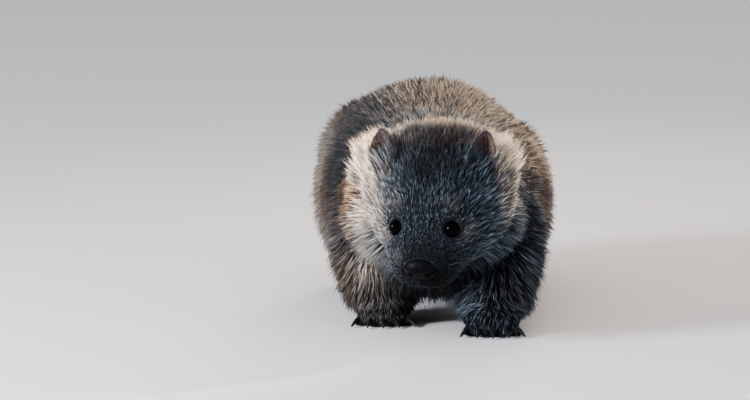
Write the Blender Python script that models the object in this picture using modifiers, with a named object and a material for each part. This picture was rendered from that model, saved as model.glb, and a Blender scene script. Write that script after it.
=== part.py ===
"""A bare-nosed wombat at life size, walking with its head held low.

Metres, +Z up, the floor at z = 0. The animal walks towards -Y and its left side
is at +X. The finished model is moved so that the origin lies on the floor under
the middle of its box. The trunk, neck, head and legs are lofts and tubes melted
into one smooth body, which thin cuts then part into named pieces. The surface
given here runs half way up the coat, so flat tapered locks reach the coat's tips.
"""

import math

import bmesh
import bpy
import numpy as np
from mathutils import Matrix, Vector
from mathutils.bvhtree import BVHTree

# How finely the body is melted and how many triangles the parts keep.
VOXEL = 0.0045
MELT_STEPS = 14
SECTION_POINTS = 40
RINGS_A_STATION = 6
HEAD_TRIANGLES = 9000
BODY_TRIANGLES = 3200
FEET_TRIANGLES = 5200
GAP = 0.0003

# The trunk: place along Y, half width, top, widest level, bottom, sway of the back to its right.
TRUNK = (
    (-0.300, 0.096, 0.274, 0.200, 0.122, 0.000),
    (-0.245, 0.122, 0.297, 0.192, 0.098, 0.000),
    (-0.150, 0.140, 0.310, 0.182, 0.086, 0.004),
    (-0.030, 0.160, 0.319, 0.174, 0.078, 0.009),
    (0.100, 0.174, 0.326, 0.170, 0.074, 0.013),
    (0.210, 0.178, 0.327, 0.168, 0.077, 0.014),
    (0.305, 0.162, 0.310, 0.170, 0.090, 0.011),
    (0.370, 0.128, 0.277, 0.174, 0.110, 0.006),
    (0.412, 0.080, 0.233, 0.178, 0.138, 0.000),
    (0.428, 0.030, 0.200, 0.180, 0.162, 0.000),
)
BELLY_SQUARENESS = 2.7
BACK_SQUARENESS = 1.88
NECK_SQUARENESS = (2.0, 2.3)

# The neck: place, level, half width, half height, and how far it leans with the head.
NECK = (
    (-0.140, 0.202, 0.128, 0.098, 0),
    (-0.210, 0.206, 0.124, 0.098, 8),
    (-0.268, 0.212, 0.117, 0.093, 20),
    (-0.322, 0.214, 0.100, 0.070, 38),
)

# The head in its own frame, facing -Y: place along Y, half width, top, widest level, bottom.
HEAD_AT = Vector((-0.009, -0.360, 0.209))
HEAD_DIP = 47
HEAD_TURN = -15
HEAD = (
    (0.128, 0.050, 0.020, -0.006, -0.040),
    (0.112, 0.080, 0.042, -0.004, -0.060),
    (0.082, 0.098, 0.058, -0.008, -0.078),
    (0.044, 0.106, 0.067, -0.014, -0.086),
    (0.004, 0.101, 0.064, -0.020, -0.086),
    (-0.032, 0.083, 0.053, -0.023, -0.079),
    (-0.062, 0.066, 0.038, -0.024, -0.070),
    (-0.088, 0.054, 0.024, -0.024, -0.063),
    (-0.108, 0.047, 0.013, -0.024, -0.057),
    (-0.120, 0.036, 0.003, -0.026, -0.050),
)
CROWN_SQUARENESS, JAW_SQUARENESS = 2.15, 2.4
# Where a ray towards the skin starts, clear of the whole animal.
OUTSIDE = 0.2

EYE_SIDE, EYE_FORWARD, EYE_LEVEL = 0.0405, -0.058, 0.016
EYE_LOOK = (0.62, -0.42, 0.66)
EYE_RADIUS, EYE_SUNK, LID_THICKNESS = 0.0112, 0.0082, 0.0024
LID_OPENING = (0.0102, 0.0094)

EAR_SIDE, EAR_FORWARD = 0.073, 0.048
EAR_SEAT = (0.0, 0.004, 0.0150)
EAR_HALF = (0.0190, 0.0110, 0.0300)
EAR_WALL, EAR_HOLLOW_AT = 0.0030, (0.0, -0.00825, 0.002)
EAR_TIP_TAPER, EAR_SPLAY, EAR_FACES_OUT = 0.22, 12, 20

NOSE_HALF = (0.0245, 0.0125, 0.0170)
NOSE_AT = (0.0, -0.1125, -0.0075)
NOSTRIL_SIDE, NOSTRIL_RADIUS = 0.0125, 0.0030
# A nostril's path outwards: share of its side, depth behind the nose's front, rise, share of radius.
NOSTRIL = ((0.72, -0.004, -0.004, 1.0), (0.95, 0.004, -0.001, 1.0), (1.25, 0.008, 0.002, 0.8),
           (1.75, 0.010, 0.002, 0.5))
MOUTH_LEVEL, MOUTH_CORNER, MOUTH_SLIT = -0.0375, -0.070, 0.0016
MOUTH_SAG, MOUTH_RISE, MOUTH_BEND = 0.006, 0.004, 1.2
MOUTH_AHEAD, LIP_DEPTH = 0.03, 0.010

# The legs: each foot's place and the tube down to it as (x, y, z, radius) on the left side.
FORE_STRIDE = {"left": -0.048, "right": 0.048}
HIND_STRIDE = {"left": 0.036, "right": -0.036}
HIP_RAISE = {"left": -0.006, "right": 0.020}
FORE_LEG = (
    (0.064, -0.140, 0.204, 0.068),
    (0.094, -0.150, 0.140, 0.061),
    (0.092, -0.172, 0.075, 0.051),
    (0.082, -0.188, 0.030, 0.042),
)
HIND_LEG = (
    (0.092, 0.235, 0.195, 0.086),
    (0.118, 0.200, 0.125, 0.066),
    (0.114, 0.240, 0.070, 0.048),
    (0.112, 0.262, 0.030, 0.036),
)
SOLE_SUNK = 0.005
# How a leg's stride gathers towards its foot, and its upper joint's share of the tube's radius.
STRIDE_EASE, JOINT_SHARE = 1.2, 0.95
FORE_FOOT = {"at": (0.081, -0.205), "half": (0.043, 0.048, 0.028), "toes": 5, "spread": 62}
HIND_FOOT = {"at": (0.112, 0.222), "half": (0.036, 0.066, 0.026), "toes": 5, "spread": 52}
TOE_HALF = (0.0092, 0.0140, 0.0125)
# The fan of the toes: how far they point outwards, their spread, and how far the outer ones lag.
TOE_OUT, TOE_AHEAD, TOE_SPREAD, TOE_REACH, TOE_LAG = 0.8, 0.9, 1.55, 0.92, 0.9
CLAW_LENGTH = {"fore": 0.024, "hind": 0.020}
CLAW_RADIUS, CLAW_DROP = 0.0042, 30
CLAW_SHARES, CLAW_TAPER, CLAW_BEND = (-0.25, 0.15, 0.6, 1.0), 0.62, 1.4
CLAW_SUNK, CLAW_RISE = 0.004, 0.0015

TAIL_LENGTH, TAIL_RADIUS, TAIL_LEVEL = 0.030, 0.013, 0.185
TAIL_WAY, TAIL_SUNK, TAIL_TAPER = (0.0, 0.75, -0.66), -0.6, 0.55

# The cuts that part the body: (level or place along Y, lean in degrees).
HEAD_CUT = {"at": (0.0, -0.298, 0.226), "lean": 20}
NECK_CUT = {"at": (0.0, -0.215, 0.200), "lean": 6}
LEG_CUT_LEAN = 46
CUTTER_REACH, CUTTER_DEPTH = 0.3, 0.4
FORE_LEG_CUT = {"at": (0.045, 0.085), "span": (-0.325, -0.050)}
HIND_LEG_CUT = {"at": (0.060, 0.085), "span": (0.110, 0.345)}
ANKLE = {"fore": 0.044, "hind": 0.042}
FOOT_SPAN = {"fore": (-0.340, -0.050), "hind": (0.080, 0.380)}

# The coat's locks by kind of coat: the hair's length, a lock's width and ridge, how far its tip
# stands above the core, and how far apart the roots are.
LOCKS = {
    "body": {"long": 0.062, "wide": 0.052, "ridge": 0.0038, "tip": 0.0110, "apart": 0.0470},
    "ruff": {"long": 0.044, "wide": 0.034, "ridge": 0.0032, "tip": 0.0100, "apart": 0.031},
    "leg": {"long": 0.044, "wide": 0.040, "ridge": 0.0030, "tip": 0.0080, "apart": 0.051},
}
# A lock's rings: share of its length, share of its width, share of its tip's height.
LOCK_STEPS = ((0.12, 0.36, 0.16), (0.38, 1.00, 0.44), (0.72, 0.62, 0.80))
LOCK_SUNK, LOCK_ROOT = 0.0050, 0.12
LOCK_TURN, LOCK_CHANGE = 16, 0.16
# The lie of the coat on body and legs, and what bends it down on the ruff.
LIE = {"body": (0, 1, -0.55), "leg": (0, 0.35, -1)}
RUFF_BEND = (0, 0.2, -0.35)
# Locks keep off the face, the crown, the feet, the inner legs and the underside.
RUFF_BEHIND, RUFF_BESIDE, RUFF_BELOW = 0.008, 0.055, 0.050
LEG_HAIR_ABOVE, LEG_HAIR_FACES, BACK_HAIR_FACES = 0.072, 0.45, -0.72
DARTS = 60
FLOOR_CLEARANCE = 0.004
SEED = 23

COAT = (0.20, 0.17, 0.15)
BARE_SKIN = (0.035, 0.030, 0.030)
EAR_SKIN = (0.16, 0.10, 0.09)
HORN = (0.10, 0.085, 0.075)
EYE_GLASS = (0.008, 0.006, 0.006)

HEAD_FRAME = (
    Matrix.Translation(HEAD_AT)
    @ Matrix.Rotation(math.radians(HEAD_TURN), 4, "Z")
    @ Matrix.Rotation(math.radians(HEAD_DIP), 4, "X")
)
SIDES = {"left": 1, "right": -1}


def clear_scene():
    for obj in list(bpy.data.objects):
        bpy.data.objects.remove(obj)


def collection(name):
    made = bpy.data.collections.new(name)
    bpy.context.scene.collection.children.link(made)
    return made


def paint(name, colour, roughness):
    """A plain dielectric material of this colour and roughness."""
    material = bpy.data.materials.new(name)
    material.use_nodes = True
    shader = material.node_tree.nodes["Principled BSDF"]
    shader.inputs["Base Color"].default_value = (*colour, 1)
    shader.inputs["Roughness"].default_value = roughness
    shader.inputs["Metallic"].default_value = 0
    return material


def add(name, mesh, home):
    obj = bpy.data.objects.new(name, mesh)
    home.objects.link(obj)
    return obj


def from_bmesh(name, bm, home):
    """A new object from a bmesh whose faces are turned outwards first."""
    bmesh.ops.recalc_face_normals(bm, faces=bm.faces)
    mesh = bpy.data.meshes.new(name)
    bm.to_mesh(mesh)
    bm.free()
    return add(name, mesh, home)


def apply_modifiers(obj):
    """Puts the evaluated mesh in the object's own mesh and drops its modifiers."""
    graph = bpy.context.evaluated_depsgraph_get()
    graph.update()
    mesh = bpy.data.meshes.new_from_object(obj.evaluated_get(graph))
    obj.modifiers.clear()
    obj.data = mesh
    return obj


def copy_of(obj, name, home):
    return add(name, obj.data.copy(), home)


def boolean(obj, operation, other, solver="EXACT"):
    """Joins, cuts or keeps what is common with one object, or with all of a collection."""
    modifier = obj.modifiers.new(operation.lower(), "BOOLEAN")
    modifier.operation = operation
    modifier.solver = solver
    if isinstance(other, bpy.types.Collection):
        modifier.operand_type = "COLLECTION"
        modifier.collection = other
    else:
        modifier.object = other
    return apply_modifiers(obj)


def as_tool(obj):
    """Marks a cutter or a guide, which isn't part of the model."""
    obj.hide_render = True
    obj.display_type = "WIRE"
    return obj


def remove(*objects):
    for obj in objects:
        bpy.data.objects.remove(obj)


def keep_largest(obj):
    """Keeps only the closed surface with the most faces, walking over edges of two faces."""
    bm = bmesh.new()
    bm.from_mesh(obj.data)
    left = set(bm.faces)
    shells = []
    while left:
        shell, front = [], [left.pop()]
        while front:
            face = front.pop()
            shell.append(face)
            for edge in face.edges:
                if len(edge.link_faces) == 2:
                    for other in edge.link_faces:
                        if other in left:
                            left.remove(other)
                            front.append(other)
        shells.append(shell)
    if len(shells) > 1:
        shells.sort(key=len)
        loose = [face for shell in shells[:-1] for face in shell]
        bmesh.ops.delete(bm, geom=loose, context="FACES")
        bm.to_mesh(obj.data)
    bm.free()
    return obj


def catmull_rom(rows, steps):
    """Rows between the given ones, each column on one smooth curve through them."""
    rows = np.asarray(rows, float)
    padded = np.vstack([2 * rows[0] - rows[1], rows, 2 * rows[-1] - rows[-2]])
    a, b, c, d = padded[:-3], padded[1:-2], padded[2:-1], padded[3:]
    t = (np.arange(steps) / steps)[:, None, None]
    curve = 2 * b + (c - a) * t + (2 * a - 5 * b + 4 * c - d) * t**2
    curve = (curve + (3 * b - a - 3 * c + d) * t**3) / 2
    return np.vstack([curve.transpose(1, 0, 2).reshape(-1, rows.shape[1]), rows[-1:]])


def oval(half_width, rise, drop, top_power, bottom_power):
    """Points round one section: a superellipse above its widest level and another below."""
    turn = np.linspace(0, 2 * np.pi, SECTION_POINTS, endpoint=False)
    c, s = np.cos(turn), np.sin(turn)
    power = np.where(s > 0, 2 / top_power, 2 / bottom_power)
    x = half_width * np.sign(c) * np.abs(c) ** power
    z = np.where(s > 0, rise, drop) * np.sign(s) * np.abs(s) ** power
    return x, z


def loft(name, rings, home):
    """A closed skin over rings of points with the same number of points in each."""
    bm = bmesh.new()
    made = [[bm.verts.new(point) for point in ring] for ring in rings]
    for lower, upper in zip(made, made[1:]):
        for i, vert in enumerate(lower):
            j = (i + 1) % len(lower)
            bm.faces.new((vert, lower[j], upper[j], upper[i]))
    bm.faces.new(made[0])
    bm.faces.new(made[-1])
    return from_bmesh(name, bm, home)


def stationed(name, stations, powers, frame, home):
    """A loft along Y over rows of (place, half width, top, widest level, bottom, sway if any)."""
    rings = []
    for y, half_width, top, wide, bottom, *sway in catmull_rom(stations, RINGS_A_STATION):
        x, z = oval(half_width, top - wide, wide - bottom, *powers)
        if sway:
            x = x - sway[0] * np.where(z > 0, (2 * x * z / (half_width * (top - wide))) ** 2, 0)
        rings.append([frame @ Vector((px, y, wide + pz)) for px, pz in zip(x, z)])
    return loft(name, rings, home)


def neck_form(home):
    """The thick neck, whose sections lean forward and turn as it nears the head."""
    rings = []
    for y, level, half_width, half_height, lean in catmull_rom(NECK, RINGS_A_STATION):
        x, z = oval(half_width, half_height, half_height, *NECK_SQUARENESS)
        share = (NECK[0][0] - y) / (NECK[0][0] - NECK[-1][0])
        frame = (
            Matrix.Translation((HEAD_AT.x * share, y, level))
            @ Matrix.Rotation(math.radians(HEAD_TURN * share), 4, "Z")
            @ Matrix.Rotation(math.radians(lean), 4, "X")
        )
        rings.append([frame @ Vector((px, 0, pz)) for px, pz in zip(x, z)])
    return loft("neck_form", rings, home)


def ellipsoid(name, centre, half, home, frame=None, segments=24):
    bm = bmesh.new()
    bmesh.ops.create_uvsphere(bm, u_segments=segments, v_segments=segments // 2, radius=1)
    place = Matrix.Translation(centre) @ Matrix.Diagonal((*half, 1))
    bmesh.ops.transform(bm, matrix=(frame or Matrix()) @ place, verts=bm.verts)
    return from_bmesh(name, bm, home)


def box(name, low, high, home, frame=None):
    bm = bmesh.new()
    bmesh.ops.create_cube(bm, size=1)
    low, high = Vector(low), Vector(high)
    place = Matrix.Translation((low + high) / 2) @ Matrix.Diagonal((*(high - low), 1))
    bmesh.ops.transform(bm, matrix=(frame or Matrix()) @ place, verts=bm.verts)
    return from_bmesh(name, bm, home)


def tube(name, points, home, frame=None, sides=5, steps=RINGS_A_STATION):
    """A tube of changing radius through (x, y, z, radius) points, as a closed mesh."""
    curve = bpy.data.curves.new(name, "CURVE")
    curve.dimensions = "3D"
    curve.bevel_depth = 1
    curve.bevel_resolution = sides
    curve.use_fill_caps = True
    path = catmull_rom(points, steps)
    spline = curve.splines.new("POLY")
    spline.points.add(len(path) - 1)
    for point, (x, y, z, radius) in zip(spline.points, path):
        point.co = (*((frame or Matrix()) @ Vector((x, y, z))), 1)
        point.radius = radius
    wire = bpy.data.objects.new(name, curve)
    home.objects.link(wire)
    graph = bpy.context.evaluated_depsgraph_get()
    mesh = bpy.data.meshes.new_from_object(wire.evaluated_get(graph))
    remove(wire)
    bm = bmesh.new()
    bm.from_mesh(mesh)
    bmesh.ops.remove_doubles(bm, verts=bm.verts, dist=1e-6)
    return from_bmesh(name, bm, home)


def foot_place(kind, side, foot):
    stride = {"fore": FORE_STRIDE, "hind": HIND_STRIDE}[kind][side]
    x, y = foot["at"]
    return Vector((SIDES[side] * x, y + stride, foot["half"][2] - SOLE_SUNK))


def leg_forms(kind, side, leg, foot, home):
    """One leg's tube with its lower joints moved by the stride, its paw and its toes."""
    stride = {"fore": FORE_STRIDE, "hind": HIND_STRIDE}[kind][side]
    share = np.linspace(0, 1, len(leg)) ** STRIDE_EASE
    raise_hip = HIP_RAISE[side] if kind == "hind" else 0
    path = [
        (SIDES[side] * x, y + stride * s, z + raise_hip * (1 - s), radius)
        for (x, y, z, radius), s in zip(leg, share)
    ]
    name = f"{kind}_{side}"
    centre = foot_place(kind, side, foot)
    forms = [
        tube(name + "_leg", path, home),
        ellipsoid(name + "_joint", path[0][:3], (path[0][3] * JOINT_SHARE,) * 3, home),
        ellipsoid(name + "_paw", centre, foot["half"], home),
    ]
    for i, (root, way) in enumerate(toes(kind, side, foot)):
        frame = Matrix.Translation(root) @ way.to_track_quat("-Y", "Z").to_matrix().to_4x4()
        forms.append(ellipsoid(f"{name}_toe_{i}", (0, 0, 0), TOE_HALF, home, frame, 12))
    return forms


def toes(kind, side, foot):
    """Each toe's centre and the way it points, fanned round the front of the paw."""
    centre = foot_place(kind, side, foot)
    for i in range(foot["toes"]):
        share = i / (foot["toes"] - 1) - 0.5
        turn = math.radians(foot["spread"]) * share
        way = Vector((math.sin(turn) * TOE_OUT, -math.cos(turn * TOE_AHEAD), 0)).normalized()
        reach_x = foot["half"][0] * TOE_SPREAD * share
        reach_y = -foot["half"][1] * (TOE_REACH - TOE_LAG * share**2)
        yield centre + Vector((reach_x, reach_y, TOE_HALF[2] - SOLE_SUNK - centre.z)), way


def whole_body(home):
    """Every form melted into one smooth skin by a voxel remesh and a light smoothing."""
    forms = [
        stationed("trunk", TRUNK, (BACK_SQUARENESS, BELLY_SQUARENESS), Matrix(), home),
        neck_form(home),
        stationed("skull", HEAD, (CROWN_SQUARENESS, JAW_SQUARENESS), HEAD_FRAME, home),
    ]
    for side in SIDES:
        forms += leg_forms("fore", side, FORE_LEG, FORE_FOOT, home)
        forms += leg_forms("hind", side, HIND_LEG, HIND_FOOT, home)
    bm = bmesh.new()
    for form in forms:
        bm.from_mesh(form.data)
    remove(*forms)
    mesh = bpy.data.meshes.new("whole")
    bm.to_mesh(mesh)
    bm.free()
    body = add("whole", mesh, home)
    melt = body.modifiers.new("melt", "REMESH")
    melt.mode = "VOXEL"
    melt.voxel_size = VOXEL
    ease = body.modifiers.new("ease", "SMOOTH")
    ease.factor = 0.5
    ease.iterations = MELT_STEPS
    return keep_largest(apply_modifiers(body))


def thinned(body, name, triangles, home):
    """A copy of the body with about this many triangles, its soles cut flat at the floor."""
    made = copy_of(body, name, home)
    fewer = made.modifiers.new("fewer", "DECIMATE")
    fewer.ratio = triangles / (2 * len(body.data.polygons))
    fewer.use_collapse_triangulate = True
    return slice_off(apply_modifiers(made), (0, 0, 0), (0, 0, 1))


def slice_off(obj, point, normal):
    """Cuts away what lies behind the plane and closes the cut with a flat face."""
    bm = bmesh.new()
    bm.from_mesh(obj.data)
    geometry = bm.verts[:] + bm.edges[:] + bm.faces[:]
    cut = bmesh.ops.bisect_plane(
        bm, geom=geometry, plane_co=point, plane_no=normal, clear_inner=True
    )
    rim = [item for item in cut["geom_cut"] if isinstance(item, bmesh.types.BMEdge)]
    caps = bmesh.ops.holes_fill(bm, edges=rim)["faces"]
    bmesh.ops.triangulate(bm, faces=caps)
    bmesh.ops.recalc_face_normals(bm, faces=bm.faces)
    bm.to_mesh(obj.data)
    bm.free()
    return obj


def leaning(cut, side=1):
    """The unit normal of a cut that faces the head and leans down by its angle."""
    lean = math.radians(cut["lean"])
    return Vector((0, -math.cos(lean), -math.sin(lean))) * side


def cut_at(obj, cut, ahead):
    """Keeps what lies ahead of the cut or behind it, half the gap away from it."""
    normal = leaning(cut, 1 if ahead else -1)
    return slice_off(obj, Vector(cut["at"]) + normal * GAP / 2, normal)


def leg_cutter(name, side, cut, grow, home):
    """A leaning block round one leg, grown on every side by part of the gap."""
    x, z = cut["at"]
    lean = Matrix.Rotation(math.radians(-LEG_CUT_LEAN * SIDES[side]), 4, "Y")
    frame = Matrix.Translation((SIDES[side] * x, 0, z)) @ lean
    near, far = cut["span"]
    low = (-CUTTER_REACH - grow, near - grow, -CUTTER_DEPTH)
    high = (CUTTER_REACH + grow, far + grow, grow)
    block = box(name, low, high, home, frame)
    half = box(name + "_half", (-grow, -1, -1), (1, 1, 1), home)
    if side == "right":
        half.data.transform(Matrix.Diagonal((-1, 1, 1, 1)))
        half.data.flip_normals()
    boolean(block, "INTERSECT", half)
    remove(half)
    return as_tool(block)


def part_legs(trunk, head, fine, parts, tools):
    """Cuts the legs out of the trunk with leaning blocks, and the feet off at the ankles."""
    limbs = {}
    for kind, cut in (("fore", FORE_LEG_CUT), ("hind", HIND_LEG_CUT)):
        for side in SIDES:
            block = leg_cutter("block", side, cut, 0, tools)
            leg = boolean(copy_of(trunk, f"{kind}leg_{side}", parts), "INTERSECT", block)
            limbs[leg.name] = keep_largest(slice_off(leg, (0, 0, ANKLE[kind]), (0, 0, 1)))
            remove(block)
            near, far = FOOT_SPAN[kind]
            top = ANKLE[kind] - GAP
            reach = sorted((0, SIDES[side] * CUTTER_REACH))
            block = as_tool(box("block", (reach[0], near, -OUTSIDE / 2), (reach[1], far, top), tools))
            foot = boolean(copy_of(fine, f"{kind}foot_{side}", parts), "INTERSECT", block)
            limbs[foot.name] = keep_largest(foot)
            remove(block)
    for kind, cut in (("fore", FORE_LEG_CUT), ("hind", HIND_LEG_CUT)):
        for side in SIDES:
            block = leg_cutter("block", side, cut, GAP, tools)
            for carrier in (trunk, head):
                boolean(carrier, "DIFFERENCE", block)
            remove(block)
    return limbs


def seat(obj, start, way):
    """Where a ray from start meets the object, and the way its surface faces there."""
    tree = BVHTree.FromObject(obj, bpy.context.evaluated_depsgraph_get())
    place, normal, _, _ = tree.ray_cast(Vector(start), Vector(way).normalized())
    return place, normal


def grown(obj, by, name, home):
    """A helper copy whose points are moved out along their normals."""
    helper = copy_of(obj, name, home)
    bm = bmesh.new()
    bm.from_mesh(helper.data)
    bm.normal_update()
    for vert in bm.verts:
        vert.co += vert.normal * by
    bm.to_mesh(helper.data)
    bm.free()
    return as_tool(helper)


def facing(place, way, upward):
    """A frame at place whose -Y axis points along way and whose Z axis is near upward."""
    back = -Vector(way).normalized()
    side = back.cross(Vector(upward)).normalized()
    up = side.cross(back)
    frame = Matrix((side, back, up)).transposed().to_4x4()
    frame.translation = place
    return frame


def eye_frame(head, side):
    """The frame of one eyeball, sunk below the face where the eye looks out."""
    x = SIDES[side] * EYE_SIDE
    outwards, ahead, up = EYE_LOOK
    way = HEAD_FRAME.to_3x3() @ Vector((SIDES[side] * outwards, ahead, up))
    start = HEAD_FRAME @ Vector((x, EYE_FORWARD, EYE_LEVEL)) + way * OUTSIDE / 2
    place, _ = seat(head, start, -way)
    return facing(place - way.normalized() * EYE_SUNK, way, HEAD_FRAME.to_3x3() @ Vector((0, 0, 1)))


def make_eye(head, side, parts, tools):
    """An eyeball in a socket of the head, with lids round its opening."""
    frame = eye_frame(head, side)
    lid = ellipsoid("lid", (0, 0, 0), (EYE_RADIUS + LID_THICKNESS,) * 3, tools, frame, 20)
    boolean(head, "UNION", lid)
    remove(lid)
    socket = ellipsoid("socket", (0, 0, 0), (EYE_RADIUS + GAP,) * 3, tools, frame, 18)
    width, height = LID_OPENING
    reach = EYE_RADIUS * 1.1
    opening = ellipsoid("opening", (0, -reach, 0), (width, reach, height), tools, frame, 18)
    boolean(socket, "UNION", opening)
    boolean(head, "DIFFERENCE", socket)
    remove(socket, opening)
    eye = ellipsoid(f"eye_{side}", (0, 0, 0), (EYE_RADIUS,) * 3, parts, frame, 16)
    return eye


def make_ear(head, side, parts, tools):
    """A short rounded ear, hollowed in front, seated on the head with a thin gap."""
    sign = SIDES[side]
    start = HEAD_FRAME @ Vector((sign * EAR_SIDE, EAR_FORWARD, OUTSIDE))
    root, _ = seat(head, start, HEAD_FRAME.to_3x3() @ Vector((0, 0, -1)))
    frame = (
        Matrix.Translation(root)
        @ Matrix.Rotation(math.radians(HEAD_TURN + sign * EAR_FACES_OUT), 4, "Z")
        @ Matrix.Rotation(math.radians(sign * EAR_SPLAY), 4, "Y")
        @ Matrix.Translation(EAR_SEAT)
    )
    ear = ellipsoid(f"ear_{side}", (0, 0, 0), EAR_HALF, parts, None, 16)
    hollow_half = Vector(EAR_HALF) - Vector((1, 0.1, 2)) * EAR_WALL
    hollow = as_tool(ellipsoid("hollow", EAR_HOLLOW_AT, hollow_half, tools, None, 16))
    for piece in (ear, hollow):
        for vert in piece.data.vertices:
            vert.co.x *= 1 - EAR_TIP_TAPER * vert.co.z / EAR_HALF[2]
        piece.data.transform(frame)
    boolean(ear, "DIFFERENCE", hollow)
    near = grown(head, GAP, "near_head", tools)
    boolean(ear, "DIFFERENCE", near)
    remove(hollow, near)
    return keep_largest(ear)


def make_nose(head, parts, tools):
    """The broad bare nose pad with two nostrils, seated in the front of the muzzle."""
    nose = ellipsoid("nose", NOSE_AT, NOSE_HALF, parts, HEAD_FRAME, 16)
    for sign in SIDES.values():
        front = NOSE_AT[1] - NOSE_HALF[1]
        path = [
            (sign * NOSTRIL_SIDE * out, front + depth, NOSE_AT[2] + rise, NOSTRIL_RADIUS * share)
            for out, depth, rise, share in NOSTRIL
        ]
        nostril = as_tool(tube("nostril", path, tools, HEAD_FRAME, 2, 2))
        boolean(nose, "DIFFERENCE", nostril)
        remove(nostril)
    near = grown(head, GAP, "near_head", tools)
    boolean(nose, "DIFFERENCE", near)
    remove(near)
    return keep_largest(nose)


def open_mouth(head, tools):
    """The line of the closed mouth and the split of the upper lip, as thin slits."""
    front = HEAD[-1][0] - MOUTH_AHEAD
    side = HEAD[0][1]
    mouth = box(
        "mouth",
        (-side, front, MOUTH_LEVEL - MOUTH_SLIT / 2),
        (side, MOUTH_CORNER, MOUTH_LEVEL + MOUTH_SLIT / 2),
        tools,
    )
    bm = bmesh.new()
    bm.from_mesh(mouth.data)
    bmesh.ops.subdivide_edges(bm, edges=bm.edges, cuts=4, use_grid_fill=True)
    for vert in bm.verts:
        ahead = 1 - (vert.co.y - front) / (MOUTH_CORNER - front)
        vert.co.z += MOUTH_RISE - MOUTH_SAG * ahead**2 + MOUTH_BEND * vert.co.x**2
    bm.to_mesh(mouth.data)
    bm.free()
    mouth.data.transform(HEAD_FRAME)
    boolean(head, "DIFFERENCE", mouth)
    lip = box(
        "lip",
        (-MOUTH_SLIT / 2, front, MOUTH_LEVEL),
        (MOUTH_SLIT / 2, HEAD[-1][0] + LIP_DEPTH, NOSE_AT[2]),
        tools,
        HEAD_FRAME,
    )
    boolean(head, "DIFFERENCE", lip)
    remove(mouth, lip)
    return keep_largest(head)


def claw(name, root, way, length, parts):
    """A blunt digging claw that curves down as it narrows."""
    rows = []
    for share in CLAW_SHARES:
        drop = math.sin(math.radians(CLAW_DROP)) * share**2 * length * 0.5
        point = root + way * length * share - Vector((0, 0, drop))
        rows.append((*point, CLAW_RADIUS * (1 - CLAW_TAPER * max(share, 0) ** CLAW_BEND)))
    return tube(name, rows, parts, None, 1, 1)


def make_claws(foot, kind, side, parts, tools):
    """A claw at the tip of each toe, apart from the hind foot's clawless first toe."""
    plan = {"fore": FORE_FOOT, "hind": HIND_FOOT}[kind]
    found = list(toes(kind, side, plan))
    if kind == "hind":
        found = found[1:] if side == "left" else found[:-1]
    near = grown(foot, GAP, "near_foot", tools)
    made = []
    for i, (centre, way) in enumerate(found):
        root = centre + way * (TOE_HALF[1] - CLAW_SUNK) + Vector((0, 0, CLAW_RISE))
        name = f"claw_{kind}_{side}_{i + 1}"
        made.append(claw(name, root, way, CLAW_LENGTH[kind], parts))
        slice_off(made[-1], (0, 0, GAP), (0, 0, 1))
        keep_largest(boolean(made[-1], "DIFFERENCE", near))
    remove(near)
    return made


def make_tail(trunk, parts, tools):
    """The short stub of a tail, seated on the rump."""
    start = (0, TRUNK[-1][0] + OUTSIDE, TAIL_LEVEL)
    root, _ = seat(trunk, start, (0, -1, 0))
    rows = []
    for share in np.linspace(TAIL_SUNK, 1, 6):
        point = root + Vector(TAIL_WAY) * TAIL_LENGTH * share
        rows.append((*point, TAIL_RADIUS * (1 - TAIL_TAPER * max(share, 0) ** 1.6)))
    tail = tube("tail", rows, parts, None, 3, 1)
    near = grown(trunk, GAP, "near_trunk", tools)
    boolean(tail, "DIFFERENCE", near)
    remove(near)
    return keep_largest(tail)


def lie(kind, place):
    """Which way the hair runs at a place, before it is laid along the surface."""
    if kind == "ruff":
        return (place - HEAD_FRAME @ Vector(NOSE_AT)).normalized() + Vector(RUFF_BEND)
    return Vector(LIE[kind])


def bears_hair(kind, place, normal):
    """Whether locks grow there: not on the face, the crown, the feet or under the belly."""
    if kind == "ruff":
        local = HEAD_FRAME.inverted() @ place
        return local.y > RUFF_BEHIND and abs(local.x) > RUFF_BESIDE and local.z < RUFF_BELOW
    if kind == "leg":
        return place.z > LEG_HAIR_ABOVE and abs(normal.x) + max(-normal.y, 0) > LEG_HAIR_FACES
    return normal.z > BACK_HAIR_FACES


def world_tree(obj):
    return BVHTree.FromObject(obj, bpy.context.evaluated_depsgraph_get())


def roots(obj, kind, skin, rng):
    """Evenly spread places on the object's skin for its locks, found by throwing darts."""
    mesh = obj.data
    mesh.calc_loop_triangles()
    corners = [[mesh.vertices[i].co for i in tri.vertices] for tri in mesh.loop_triangles]
    areas = np.array([tri.area for tri in mesh.loop_triangles])
    apart = LOCKS[kind]["apart"]
    tries = int(areas.sum() / apart**2 * DARTS)
    kept = []
    for face in rng.choice(len(areas), tries, p=areas / areas.sum()):
        a, b = np.sqrt(rng.random()), rng.random()
        p, q, r = corners[face]
        place = p * (1 - a) + q * (a * (1 - b)) + r * (a * b)
        _, normal, _, off = skin.find_nearest(place)
        if off > VOXEL / 2 or normal.dot(mesh.loop_triangles[face].normal) < 0.8:
            continue
        if bears_hair(kind, place, normal) and all((place - p).length > apart for p in kept):
            kept.append(place)
    return kept


def over(skin, place, height):
    """The point at this height over the skin, where place is nearest to it."""
    near, normal, _, _ = skin.find_nearest(place)
    return near + normal * height


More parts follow.
